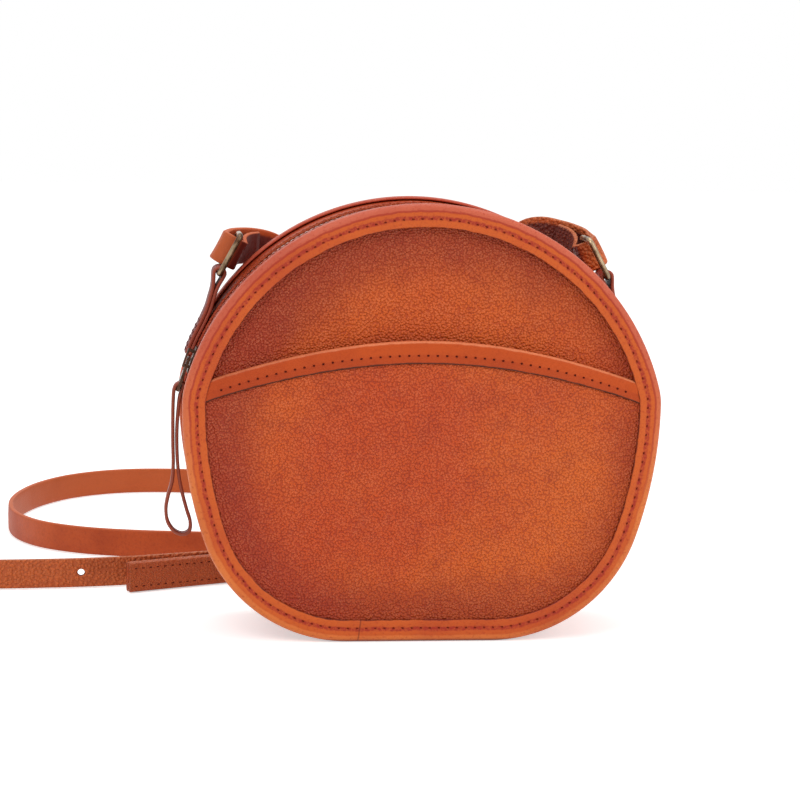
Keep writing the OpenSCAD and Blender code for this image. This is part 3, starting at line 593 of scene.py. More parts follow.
def tape_cloth(name, warp_colour, weft_colour):
    """Woven tape: rows along it, crossed by slanted ones."""
    f = Finish(name)
    rows = f.add("ShaderNodeTexWave", {"Vector": f.place, "Scale": 420.0}, bands_direction="Y")
    picks = f.add("ShaderNodeTexWave", {"Vector": f.place, "Scale": 520.0}, bands_direction="DIAGONAL")
    weave = f.math("MULTIPLY", rows.outputs["Fac"], picks.outputs["Fac"])
    tone = f.blend(weave, warp_colour, weft_colour)
    tone = f.blend(f.span(f.noise(90, 3.0, 0.6), 0.4, 0.7, 0.0, 0.4), tone, warp_colour)
    return f.set(Base_Color=tone, Roughness=0.85, Normal=f.bump(weave, 0.6, 0.0003))


def floor_finish():
    """White paper that keeps the bag's soft shadow."""
    f = Finish("Studio paper")
    paper = f.add("ShaderNodeBsdfDiffuse", {"Color": PAPER}).outputs[0]
    glow = f.add("ShaderNodeEmission", {"Color": WHITE, "Strength": PAPER_GLOW}).outputs[0]
    both = f.add("ShaderNodeAddShader", {0: paper, 1: glow}).outputs[0]
    mix = f.add("ShaderNodeMixShader", {0: f.seen_rays(), 1: paper, 2: both}).outputs[0]
    out = next(n for n in f.tree.nodes if n.type == "OUTPUT_MATERIAL")
    f.fill(out.inputs, {"Surface": mix})
    return f.material


# Sewn pieces
def grid_faces(rows, cols, loop=False):
    """Quads of a grid of points, rows by columns; loop joins the last column to the first."""
    faces = []
    for r in range(rows - 1):
        for c in range(cols if loop else cols - 1):
            n = (c + 1) % cols
            faces.append((r * cols + c, r * cols + n, (r + 1) * cols + n, (r + 1) * cols + c))
    return faces


def thicken(piece, t):
    """Gives a single sheet the thickness of its leather, in millimetres, half to either side."""
    solid = piece.modifiers.new("Leather thickness", "SOLIDIFY")
    solid.thickness = t * MM
    solid.offset = 0.0
    solid.use_even_offset = True
    return piece


def stitch_row(name, route, ups, material, pitch, length, thick, skew=0.0):
    """Stitches along a route: short plump threads whose ends dive into their holes.

    ups are the leather's outward directions at the route's points.
    """
    points, faces = [], []
    rings, sides = 7, 8
    lengths = [0.0]
    for a, b in zip(route, route[1:]):
        lengths.append(lengths[-1] + (Vector(b) - Vector(a)).length)
    count = int(lengths[-1] // pitch)
    lead = (lengths[-1] - (count - 1) * pitch - length) / 2
    at = 0
    for s in range(count):
        middle = lead + length / 2 + s * pitch
        while at < len(route) - 2 and lengths[at + 1] < middle:
            at += 1
        share = (middle - lengths[at]) / max(1e-6, lengths[at + 1] - lengths[at])
        a, b = Vector(route[at]), Vector(route[at + 1])
        centre = a.lerp(b, share)
        along = (b - a).normalized()
        up = Vector(ups[at]).lerp(Vector(ups[at + 1]), share)
        up = (up - along * up.dot(along)).normalized()
        side = along.cross(up)
        along = (along + side * skew).normalized()
        base = len(points)
        for i in range(rings):
            u = 2 * i / (rings - 1) - 1
            swell = sqrt(max(0.03, 1 - abs(u) ** 3))
            lift = thick * (0.5 * swell - STITCH_SINK) - 0.5 * thick * (1 - swell)
            for j in range(sides):
                px, pz = polar(thick / 2 * swell, 360 / sides * j)
                rise = up * (pz * 0.8 + lift * 0.7)
                points.append(centre + along * (u * length / 2) + side * px + rise)
        faces += [tuple(base + k for k in face) for face in tube_faces(rings, sides)]
    return new_mesh(name, points, faces, material)


def strip_mesh(name, path, widths, w, t, material, closed=False, swell=None):
    """A leather strip along a path, with softened edges and the layers that its finish reads.

    swell gives how far the strip bows outward at a share of its half width.
    """
    profile = strip_profile(w, t)
    points, across, back, along_layer = [], [], [], []
    run = 0.0
    for i, (p, (wide, face)) in enumerate(zip(path, frames(path, widths, closed))):
        run += (path[i] - path[i - 1]).length if i else 0.0
        for a, b in profile:
            bow = swell(a / (w / 2)) if swell else 0.0
            points.append(p + wide * a + face * (b + bow))
            across.append(a / (w / 2))
            back.append(1.0 if b < 0 else 0.0)
            along_layer.append(run)
    layers = {"across": across, "back": back, "along": along_layer}
    return new_mesh(name, points, tube_faces(len(path), len(profile), closed), material, layers)


def drawn_in(inset, depth):
    """How far a panel sinks beside its binding, where the seam draws it in."""
    return depth * exp(-((inset - CREASE_INSET) / CREASE_W) ** 2)


def panel_mesh(name, level, direction, bulge, material):
    """A panel cut to the outline, softly filled out from its sewn edge; direction -1 faces forward."""
    rim = outline(2.2)
    rings = 26
    points, edge = [], []
    for r in range(rings):
        share = (r / (rings - 1)) ** 1.35 * 0.985
        for place, normal in rim:
            start = place - normal * SKIN_INSET
            at = start.lerp(PANEL_MIDDLE, share)
            inset = SKIN_INSET + (PANEL_MIDDLE - start).length * share * 0.98
            lift = bulge * soft(inset, FILL_FROM, FILL_TO) - drawn_in(inset, 0.5)
            lift += wander(at.x, level, at.y, 42, 0.55, 3.0) * soft(inset, SWELL_FROM, SWELL_TO)
            points.append((at.x, level + direction * lift, at.y))
            edge.append(inset)
    faces = grid_faces(rings, len(rim), True)
    faces.append(tuple((rings - 1) * len(rim) + c for c in range(len(rim))))
    return thicken(new_mesh(name, points, faces, material, {"edge": edge}), PANEL_T * 0.9)


def bulge_at(x, h):
    """How far the pocket stands forward at a place."""
    margin = BINDING_FACE_W + 2 * PANEL_T
    across = abs(x) / (half_w(h) - margin)
    up = (h - margin) / (MOUTH_H - margin)
    if across >= 1 or up <= 0:
        return 0.0
    return POCKET_BULGE * (1 - across * across) * sin(radians(90 * min(1, up)))


def pocket_bow(x, h):
    """The pocket's form: its bulge with the small swells of soft leather."""
    inset = edge_distance(x, h)
    swells = wander(x, h, 5, 38, 0.5, 7.0) * soft(inset, SWELL_FROM, SWELL_TO)
    return bulge_at(x, h) + swells - drawn_in(inset, 0.35)


def mouth_end(inset):
    """Height at which the pocket's mouth meets the outline, drawn in by an inset."""
    h = MOUTH_H
    for _ in range(9):
        h = mouth_at(half_w(h, inset))
    return h


def pocket_mesh(name, material):
    """The pocket's ply: rows of points from the outline's lower part up to the mouth."""
    top = mouth_end(SKIN_INSET)
    mouth_x = half_w(top, SKIN_INSET)
    run = [(p - n * SKIN_INSET) for p, n in outline(1.5, range(2, 6))]
    run = [p for p in run if p.y < top - 0.5]
    run = [Vector((-mouth_x, top))] + run + [Vector((mouth_x, top))]
    steps = [0.0]
    for a, b in zip(run, run[1:]):
        steps.append(steps[-1] + (b - a).length)
    rows, points, edge, mouth = 44, [], [], []
    for r in range(rows + 1):
        share = r / rows
        for base, s in zip(run, steps):
            x = mouth_x * (2 * s / steps[-1] - 1)
            at = base.lerp(Vector((x, mouth_at(x))), share)
            inset = edge_distance(at.x, at.y)
            level = FACE_Y - BINDING_T - POCKET_T / 2 + pocket_bow(at.x, at.y)
            points.append((at.x, -level, at.y))
            edge.append(inset)
            mouth.append(mouth_at(at.x) - at.y)
    layers = {"edge": edge, "mouth": mouth}
    piece = new_mesh(name, points, grid_faces(rows + 1, len(run)), material, layers)
    return thicken(piece, POCKET_T)


def binding_profile():
    """The binding's section: inset from the outline, depth under the face, both in millimetres."""
    r = BINDING_ROLL_R
    face = [(10.0, 1.15), (10.05, 0.55), (9.85, 0.12), (9.3, 0.0), (8.2, 0.02), (7.2, 0.14), (6.4, 0.3),
            (5.6, 0.14), (4.8, 0.02), (4.0, -0.02), (3.2, 0.04)]
    fold = [(r * (1 - sin(radians(a))), r * (1 - cos(radians(a)))) for a in range(6, 91, 12)]
    side = [(0.0, 4.2), (0.05, 5.6), (0.1, 6.7), (0.35, 7.6), (0.95, 7.95), (1.25, 7.6), (1.3, 5.0),
            (1.45, 2.4)]
    inner = [(2.4, 1.3), (6.0, 1.2)]
    return face + fold + side + inner


def binding_mesh(name, side, material, seed):
    """The folded strip round a face, a little thicker at its overlap; side is -1 for the front."""
    rim = outline(2.0)
    profile = binding_profile()
    points, inset, down = [], [], []
    for place, normal in rim:
        past = place.x - LAP_X
        lap = LAP_RISE * exp(-past / LAP_FADE) if past > 0 and place.y < LAP_MAX_H else 0.0
        for a, b in profile:
            soft_face = (wander(place.x + a, seed, place.y, 16, 0.22, seed) - lap) * soft(a, 0, 3)
            at = place - normal * a
            points.append((at.x, side * (FACE_Y - b - soft_face), at.y))
            inset.append(a)
            down.append(b)
    faces = tube_faces(len(rim), len(profile), closed=True)
    return new_mesh(name, points, faces, material, {"inset": inset, "down": down})


def binding_stitches(name, side, material):
    """The row round a binding's face, in the groove that it pulls."""
    rim = outline(1.6)
    seam = [p - n * BINDING_STITCH_INSET for p, n in rim + rim[:1]]
    route = [(p.x, side * (FACE_Y - BINDING_STITCH_SINK), p.y) for p in seam]
    return stitch_row(name, route, [(0, side, 0)] * len(route), material, pitch=4.0, length=1.2,
                      thick=0.6, skew=0.12)


def gusset_mesh(name, arcs, from_y, to_y, sag, material, seed):
    """A gusset strip round some arcs of the outline, drawn in a little between its sewn edges."""
    run = outline(2.4, arcs)
    cols = 16
    points, edge = [], []
    for place, normal in run:
        for c in range(cols + 1):
            share = c / cols
            y = from_y + (to_y - from_y) * share
            in_y = min(y - from_y, to_y - y)
            dip = sag * sin(pi * share) + EDGE_DIP * soft(in_y, 0, 9)
            dip += wander(place.x, y, place.y, 24, 0.5, seed) * soft(in_y, 3, 12)
            at = place - normal * (SKIN_INSET + dip + PANEL_T / 2)
            points.append((at.x, y, at.y))
            edge.append(in_y)
    piece = new_mesh(name, points, grid_faces(len(run), cols + 1), material, {"edge": edge})
    return thicken(piece, PANEL_T)


def zip_end_mesh(name, side, material):
    """The lower gusset's end, which steps in and runs on under the zip's end; side is -1 or 1."""
    low, high = HIP_Z - 5, HIP_Z + HIP_R * sin(radians(HIP_A)) + 1
    run = [(p, n) for p, n in outline(1.0, (0, 1, 2)) if p.x < 0 and low < p.y < high]
    cols = 8
    points, edge = [], []
    for place, normal in run:
        for c in range(cols + 1):
            y = ZIP_END_HALF_W * (2 * c / cols - 1)
            at = place - normal * ZIP_END_INSET
            points.append((-side * at.x, y, at.y))
            edge.append(ZIP_END_HALF_W - abs(y))
    piece = new_mesh(name, points, grid_faces(len(run), cols + 1), material, {"edge": edge})
    return thicken(piece, ZIP_END_T)


def edge_stitches(name, arcs, y, material):
    """The row along a gusset's edge, which stops short of the hips' widest places."""
    run = outline(1.6, arcs)
    keep = [(p, n) for p, n in run if abs(p.x) < BAG_W / 2]
    seam = [p - n * (SKIN_INSET + EDGE_DIP) for p, n in keep]
    route = [(p.x, y, p.y) for p in seam]
    ups = [(n.x, 0, n.y) for _, n in keep]
    return stitch_row(name, route, ups, material, pitch=3.4, length=1.5, thick=0.42)


def band_mesh(name, material):
    """The band that binds the pocket's mouth: over its edge, and down its face and its back."""
    end = half_w(mouth_end(BAND_END_INSET), BAND_END_INSET)
    section = [(-8.5, 0.15), (-8.55, 0.7), (-8.1, 1.0), (-6.4, 1.06), (-4.9, 0.86), (-3.7, 1.04),
               (-3.0, 1.1), (-2.0, 1.1), (-0.2, 1.08), (0.8, 0.8), (1.3, 0.1), (1.3, -0.9), (0.9, -1.8),
               (0.0, -2.4), (-3.0, -2.5), (-7.0, -2.5), (-7.1, -1.75), (-0.3, -1.65), (0.1, -0.8),
               (-0.2, 0.1)]
    count = 120
    points, edge = [], []
    for i in range(count + 1):
        x = end * (2 * i / count - 1)
        m = mouth_at(x)
        for up, out in section:
            h = min(m, m + up)
            x = half_w(m + up, BAND_END_INSET) * (2 * i / count - 1)
            ripple = wander(x, up, 9, 14, 0.16, 5.0)
            level = FACE_Y - BINDING_T + pocket_bow(x, h) + out + ripple * (out > 0.5)
            points.append((x, -level, m + up))
            # Down from the fold on the face, and one plain value over the back
            edge.append(1.3 - up if out > -1.0 else 6.0)
    return new_mesh(name, points, tube_faces(count + 1, len(section)), material, {"edge": edge})


def band_stitches(name, material):
    """The row along the band's lower edge."""
    count = 160
    end = half_w(mouth_end(BAND_STITCH_INSET), BAND_STITCH_INSET) - BAND_STITCH_SHORT
    route = []
    for i in range(count + 1):
        x = end * (2 * i / count - 1)
        h = mouth_at(x) - BAND_STITCH_DROP
        route.append((x, -(FACE_Y - BINDING_T + pocket_bow(x, h) + BAND_STITCH_LIFT), h))
    return stitch_row(name, route, [(0, -1, 0)] * len(route), material, pitch=4.1, length=1.15,
                      thick=0.8)


def crown_place(r, a):
    """A place over the crown: radius from the crown's centre, angle from the top."""
    return Vector((r * sin(radians(a)), CROWN_Z + r * cos(radians(a))))


# Middle of the right ring's near bar, which the tab is folded round
RING_BAR = crown_place(CROWN_R + RING_RISE, RING_A)


def tab_route():
    """The right tab's folded strip, as places across the bag and up."""
    seat = CROWN_R - SKIN_INSET
    foot = crown_place(seat + TAB_PLY_T, TAB_FOOT_A)
    neck = (foot - RING_BAR).normalized()
    across = Vector((-neck.y, neck.x))
    reach = (foot - RING_BAR).length
    turn_r = TAB_HOLLOW_R + TAB_PLY_T / 2
    ply = TAB_PLY_T / 2 + 0.02
    under = [crown_place(seat + ply, a) for a in reversed(TAB_SEWN_A)]
    over = [crown_place(seat + 3 * ply, a) for a in TAB_SEWN_A]
    near = [(0.82, ply), (0.6, ply), (0.42, ply * 1.05), (0.28, ply * 1.4)]
    lower = [RING_BAR + neck * reach * s - across * w for s, w in near]
    upper = [RING_BAR + neck * reach * s + across * w for s, w in reversed(near)]
    turn = [RING_BAR - across * turn_r * cos(radians(a)) - neck * turn_r * sin(radians(a))
            for a in range(0, 181, 22)]
    return under + lower + turn + upper + over


def tab_mesh(name, side, material):
    """A ring's tab; side is -1 for the left and 1 for the right."""
    path = smooth_path([(side * p.x, RING_Y, p.y) for p in tab_route()], 0.9)
    return strip_mesh(name, path, [Vector((0, 1, 0))] * len(path), TAB_W, TAB_PLY_T, material)


def tab_stitches(name, side, material):
    """Two rows along the tab's edges and one across its end."""
    seat = CROWN_R - SKIN_INSET + 2 * TAB_PLY_T
    half, end_a, middle_a = 4.6, 69.2, 65
    rows = []
    for offset in (-half, half):
        route = [crown_place(seat, a) for a in (end_a, 66, 63, 60.6)]
        rows.append([(side * p.x, RING_Y + offset, p.y) for p in route])
    end = crown_place(seat, end_a)
    rows.append([(side * end.x, RING_Y + o, end.y) for o in (-half, 0, half)])
    out = (sin(radians(middle_a)) * side, 0, cos(radians(middle_a)))
    pieces = [stitch_row(f"{name}_{i}", row, [out] * len(row), material, pitch=3.0, length=2.1,
                         thick=0.62) for i, row in enumerate(rows)]
    return join(pieces, name)


def join(pieces, name):
    """Makes one piece of several meshes that share their finishes."""
    target = bmesh.new()
    for piece in pieces:
        target.from_mesh(piece.data)
    first = pieces[0]
    target.to_mesh(first.data)
    target.free()
    for piece in pieces[1:]:
        bpy.data.objects.remove(piece)
    first.name = first.data.name = name
    first.data.polygons.foreach_set("use_smooth", [True] * len(first.data.polygons))
    return first


# Routes of the straps, as in the CAD model: places of the middle, and the way the width points there
STRAP_SHORT = [
    ((-68.8, 40.9, 166.9), (0.3, 0, 1)), ((-73.6, 38.1, 166.6), (0.35, 0, 1)),
    ((-77.2, 34.4, 165.4), (0.45, 0, 0.9)), ((-78.2, 30.5, 164), (0.47, 0, 0.88)),
    ((-78.2, 27, 164), (0.47, 0, 0.88)), ((-79, 24.2, 164.4), (0.47, 0, 0.88)),
    ((-81.1, 22.5, 165.5), (0.47, 0, 0.88)), ((-83.7, 22.5, 166.9), (0.47, 0, 0.88)),
    ((-85.8, 24.2, 168), (0.47, 0, 0.88)), ((-86.6, 27, 168.5), (0.47, 0, 0.88)),
    ((-86.4, 32, 168.3), (0.47, 0, 0.88)), ((-83.4, 37.4, 168.4), (0.45, 0, 0.9)),
    ((-77.8, 41.2, 168.6), (0.4, 0, 0.95)), ((-70.5, 43.9, 168.2), (0.3, 0, 1)),
    ((-63.3, 46.9, 166.4), (0.2, 0, 1)), ((-57, 50, 162.6), (0.2, 0.1, 1)),
    ((-51, 52.6, 156.4), (0.4, 0.2, 1)), ((-44, 55, 149), (0.8, 0.2, 1)), ((-35, 58, 134), (1, 0, 0.8)),
    ((-24, 59, 119), (1, 0, 0.8)), ((-10, 60, 105), (1, 0, 0.9)), ((6, 61, 92), (1, 0, 1)),
    ((22, 63, 78), (1, 0, 1)), ((36, 67, 62), (0.8, 0, 1)), ((47, 74, 45), (0.6, -0.1, 1)),
    ((55, 86, 28), (0.5, -0.2, 1)), ((60, 102, 15), (0.3, -0.1, 1)), ((62, 122, 8.5), (0, 0, 1)),
    ((62, 145, 7.5), (0, 0, 1)), ((58, 172, 7.5), (0, 0, 1)), ((50, 198, 7.5), (0, 0, 1)),
    ((38, 224, 7.5), (0, 0, 1)), ((22, 250, 7.5), (0, 0, 1)), ((2, 274, 7.5), (0, 0, 1)),
    ((-22, 296, 7.5), (0, 0, 1)), ((-48, 314, 7.5), (0, 0, 1)), ((-76, 328, 7.5), (0, 0, 1)),
    ((-104, 335, 7.5), (0, 0, 1)), ((-132, 332, 7.5), (0, 0, 1)), ((-157, 317, 7.5), (0, 0, 1)),
    ((-175, 292, 7.5), (0, 0, 1)), ((-186, 260, 7.5), (0, 0, 1)), ((-189, 228, 7.5), (0, 0, 1)),
    ((-184, 198, 7.5), (0, 0, 1)), ((-170, 174, 7.5), (0, 0, 1)), ((-148, 158, 7.5), (0, 0, 1)),
    ((-120, 149, 7.5), (0, 0, 1)), ((-90, 143, 7.8), (0, 0, 1)), ((-60, 136, 8.5), (0, 0, 1)),
    ((-32, 128, 9.5), (0, 0, 1)), ((-10, 121.5, 10.6), (0, 0, 1)), ((4, 119, 11), (0, 0, 1)),
    ((12, 118.3, 11), (0, 0, 1)), ((17.6, 118.2, 11), (0, 0, 1)), ((20.2, 117.4, 11), (0, 0, 1)),
    ((21.3, 115, 11), (0, 0, 1)), ((20.2, 112.6, 11), (0, 0, 1)), ((17.6, 111.8, 11), (0, 0, 1)),
    ((12, 111.6, 11), (0, 0, 1)), ((4, 110.8, 10.8), (0, 0, 1))
]
STRAP_END = [
    ((-12, 107.6, 9.8), (0, 0, 1)), ((-36, 102.4, 8.4), (0, 0, 1)), ((-60, 95.4, 7.6), (0, 0, 1)),
    ((-84, 86.6, 7.5), (0, 0, 1)), ((-106, 77.2, 7.5), (0, 0, 1)), ((-126, 68.4, 7.5), (0, 0, 1)),
]
STRAP_LONG = [
    ((68.6, 40.9, 172.2), (-0.3, 0, 1)), ((73.6, 38.1, 170.4), (-0.35, 0, 1)),
    ((77.2, 34.4, 167.2), (-0.45, 0, 0.9)), ((78.2, 30.5, 164), (-0.47, 0, 0.88)),
    ((78.2, 27, 164), (-0.47, 0, 0.88)), ((79, 24.2, 164.4), (-0.47, 0, 0.88)),
    ((81.1, 22.5, 165.5), (-0.47, 0, 0.88)), ((83.7, 22.5, 166.9), (-0.47, 0, 0.88)),
    ((85.8, 24.2, 168), (-0.47, 0, 0.88)), ((86.6, 27, 168.5), (-0.47, 0, 0.88)),
    ((86.4, 32, 168.6), (-0.47, 0, 0.88)), ((83.4, 37.4, 169.9), (-0.45, 0, 0.9)),
    ((77.8, 41.2, 171.9), (-0.4, 0, 0.95)), ((70.5, 43.9, 173.8), (-0.3, 0, 1)),
    ((63.3, 46.6, 175), (-0.2, 0, 1)), ((57, 50, 173.4), (-0.2, 0.1, 1)),
    ((51.6, 53, 166.8), (-0.3, 0.2, 1)), ((46.6, 57, 157), (-0.5, 0.2, 1)),
    ((40, 62, 146), (-0.8, 0.1, 1)), ((34, 69, 130), (-1, 0, 0.7)),
    ((29, 75, 112), (-1, 0, 0.4)), ((25, 81, 92), (-1, 0, 0.3)),
    ((20, 88, 72), (-1, 0, 0.4)), ((14, 96, 54), (-1, 0, 0.5)), ((6, 105, 38), (-0.9, 0, 0.8)),
    ((-3, 112, 26), (-0.7, 0, 1)), ((-14, 116, 16), (-0.4, 0, 1)), ((-28, 116, 10), (-0.2, 0, 1)),
    ((-44, 111.5, 7.9), (0, 0, 1)), ((-64, 104.8, 7.5), (0, 0, 1)), ((-84, 98.4, 7.5), (0, 0, 1)),
    ((-104, 91.6, 7.5), (0, 0, 1)), ((-125, 85.4, 7.5), (0, 0, 1)), ((-148, 81, 7.5), (0, 0, 1)),
    ((-170, 79, 7.5), (0, 0, 1)), ((-190, 78, 7.5), (0, 0, 1)), ((-205, 78, 7.5), (0, 0, 1))
]
# Route of the thong where it hangs: across the bag and up, from the puller's slot
THONG = [
    (-103.6, 109.9), (-104.8, 109.7), (-106.2, 109.0), (-107.2, 107.0), (-107.6, 102.0), (-107.7, 92.0),
    (-107.6, 82.0), (-107.4, 74.0), (-107.9, 66.0), (-109.6, 59.5), (-110.5, 53.5), (-109.6, 47.6),
    (-106.6, 43.5), (-103.0, 42.2), (-100.2, 43.6), (-99.7, 47.4), (-101.3, 53.0), (-103.2, 60.0),
    (-104.8, 68.0), (-105.6, 76.0), (-105.9, 88.0), (-105.3, 99.0), (-104.7, 104.0), (-103.6, 107.6),
    (-103.2, 109.2),
]


def strap_path(rows, spacing=2.2):
    """A strap's path and the direction of its width at each point."""
    places = smooth_path([(*at, *wide) for at, wide in rows], spacing)
    return [Vector(p[:3]) for p in places], [Vector(p[3:]) for p in places]


def strap_crown(across):
    """How far a strap's edges curl back from its middle."""
    return -STRAP_CURL * across * across


def strap_mesh(name, rows, material):
    """A strap or a ply of it, and the path that it follows."""
    path, widths = strap_path(rows)
    return strip_mesh(name, path, widths, STRAP_W, STRAP_T, material, swell=strap_crown), path


def punch(piece, at, radius):
    """Cuts a round hole through a strap, from the front to the back."""
    rim = [(at[0] + x, at[2] + z) for x, z in (polar(radius, 15 * i) for i in range(24))]
    points = [(x, at[1] + y, z) for y in (-PUNCH_REACH, PUNCH_REACH) for x, z in rim]
    cutter = new_mesh("hole_punch", points, tube_faces(2, len(rim)), None)
    cut = piece.modifiers.new("Hole", "BOOLEAN")
    cut.operation = "DIFFERENCE"
    cut.object = cutter
    graph = bpy.context.evaluated_depsgraph_get()
    piece.data = bpy.data.meshes.new_from_object(piece.evaluated_get(graph), depsgraph=graph)
    piece.modifiers.clear()
    bpy.data.objects.remove(cutter)


def strap_stitches(name, rows, offset, lift, material):
    """A row beside a strap's edge, on one of its faces, which stops short of its ends."""
    path, widths = strap_path(rows, 1.0)
    route, ups, run = [], [], 0.0
    for i, (p, (wide, face)) in enumerate(zip(path, frames(path, widths))):
        run += (path[i] - path[i - 1]).length if i else 0.0
        if STRAP_SEWN_FROM <= run <= STRAP_SEWN_TO:
            route.append(p + wide * offset + face * lift)
            ups.append(face * (1 if lift > 0 else -1))
    return stitch_row(name, route, ups, material, pitch=3.8, length=1.9, thick=0.62)


def tape_mesh(name, side, material):
    """A zip tape, flat under its gusset, with a corded edge at the teeth; side is -1 for the front."""
    run = outline(2.0, [0])
    # Places across the zip, and their depths under the outline
    section = [(TAPE_FROM, 3.4), (2.6, 3.18), (3.4, 3.14), (4.2, 3.35), (6.0, 3.4), (10.0, 3.4),
               (TAPE_TO, 3.4), (TAPE_TO, 3.85), (6.0, 3.85), (3.4, 3.95), (TAPE_FROM, 3.85)]
    points = []
    for place, normal in run:
        for y, depth in section:
            at = place - normal * depth
            points.append((at.x, side * y, at.y))
    return new_mesh(name, points, tube_faces(len(run), len(section)), material)


def backing_rows():
    """The second ply of the short strap's end, which lies behind the first."""
    places = [Vector(at) for at, _ in STRAP_END]
    last = len(places) - 1
    rows = []
    for i, place in enumerate(places):
        along = (places[min(i + 1, last)] - places[max(i - 1, 0)]).normalized()
        back = along.cross(Vector((0, 0, 1))).normalized()
        rows.append((tuple(place + back * (STRAP_T + PLY_GAP)), (0, 0, 1)))
    return rows


def keeper_mesh(name, material):
    """The loop round both straps beside the buckle: a strip bent round four soft corners."""
    half_t, r = KEEPER_T / 2, KEEPER_CORNER_R
    low = KEEPER_FROM - Vector((0, half_t, half_t))
    high = KEEPER_FROM + KEEPER_SIZE + Vector((0, half_t, half_t))
    x = KEEPER_FROM.x + KEEPER_SIZE.x / 2
    corners = ((high.y - r, high.z - r, 0), (low.y + r, high.z - r, 90), (low.y + r, low.z + r, 180),
               (high.y - r, low.z + r, 270))
    path = []
    for y, z, start in corners:
        for i in range(7):
            dy, dz = polar(r, start + 15 * i)
            path.append(Vector((x, y + dy, z + dz)))
    widths = [Vector((1, 0, 0))] * len(path)
    return strip_mesh(name, path, widths, KEEPER_SIZE.x, KEEPER_T, material, True)


# Settings that a user would change
class BagColours(bpy.types.PropertyGroup):
    """Colours of the leather, the thread and the metal"""

    panel: FloatVectorProperty(
        name="Panels", description="Colour of the pebbled panels", subtype="COLOR",
        size=4, min=0, max=1, default=srgb(198, 71, 14))
    # Paler colour in random clouds where the dye is thin, also laid as painted light towards the bag's
    # right side
    panel_light: FloatVectorProperty(
        name="Panel highlights", description="Colour where the dye is thin", subtype="COLOR",
        size=4, min=0, max=1, default=srgb(214, 95, 22))
    # Colour of the painted highlight on the tops of the pebbles
    pebble_highlight: FloatVectorProperty(
        name="Pebble tops", description="Colour where the tops of the pebbles are worn", subtype="COLOR",
        size=4, min=0, max=1, default=srgb(238, 142, 92))
    # Dark colour of the pits, of random patches, and of the burnish beside the seams, which painted
    # shade deepens there
    burnish_and_shade: FloatVectorProperty(
        name="Burnish", description="Dark colour in the creases and beside the seams", subtype="COLOR",
        size=4, min=0, max=1, default=srgb(136, 30, 14))
    # The binding's rolled edge, paler than its face as a painted highlight along the fold
    edge: FloatVectorProperty(
        name="Rolled edge", description="Colour of the binding's rolled edge", subtype="COLOR",
        size=4, min=0, max=1, default=srgb(222, 120, 54))
    thread: FloatVectorProperty(
        name="Thread", description="Colour of the stitches", subtype="COLOR",
        size=4, min=0, max=1, default=srgb(104, 22, 10))
    brass: FloatVectorProperty(
        name="Brass", description="Colour of the rings and the buckle", subtype="COLOR",
        size=4, min=0, max=1, default=srgb(172, 150, 120))
    teeth: FloatVectorProperty(
        name="Zip teeth", description="Colour of the teeth and the stops", subtype="COLOR",
        size=4, min=0, max=1, default=srgb(206, 204, 198))


class BagSizes(bpy.types.PropertyGroup):
    """Sizes of the soft details, and the settings of the light and the lens"""

    front_fill: FloatProperty(
        name="Front fill", description="How far the front panel swells forward, in millimetres",
        default=1.6, min=0, max=4)
    back_fill: FloatProperty(
        name="Back fill", description="How far the back panel swells backward, in millimetres",
        default=4.5, min=0, max=8)
    gusset_dip: FloatProperty(
        name="Gusset dip", description="How far the gusset draws in between its seams, in millimetres",
        default=1.4, min=0, max=3)
    grain: FloatProperty(
        name="Grain", description="Size of one pebble of the leather", unit="LENGTH",
        default=0.00108, min=0.0004, max=0.004, precision=5)
    key_power: FloatProperty(
        name="Key light", description="Power of the main soft light", unit="POWER",
        default=12.0, min=0, max=200)
    lens: FloatProperty(
        name="Lens", description="Focal length of the camera", subtype="DISTANCE_CAMERA",
        default=106.2, min=20, max=300)


FINISHES = {}


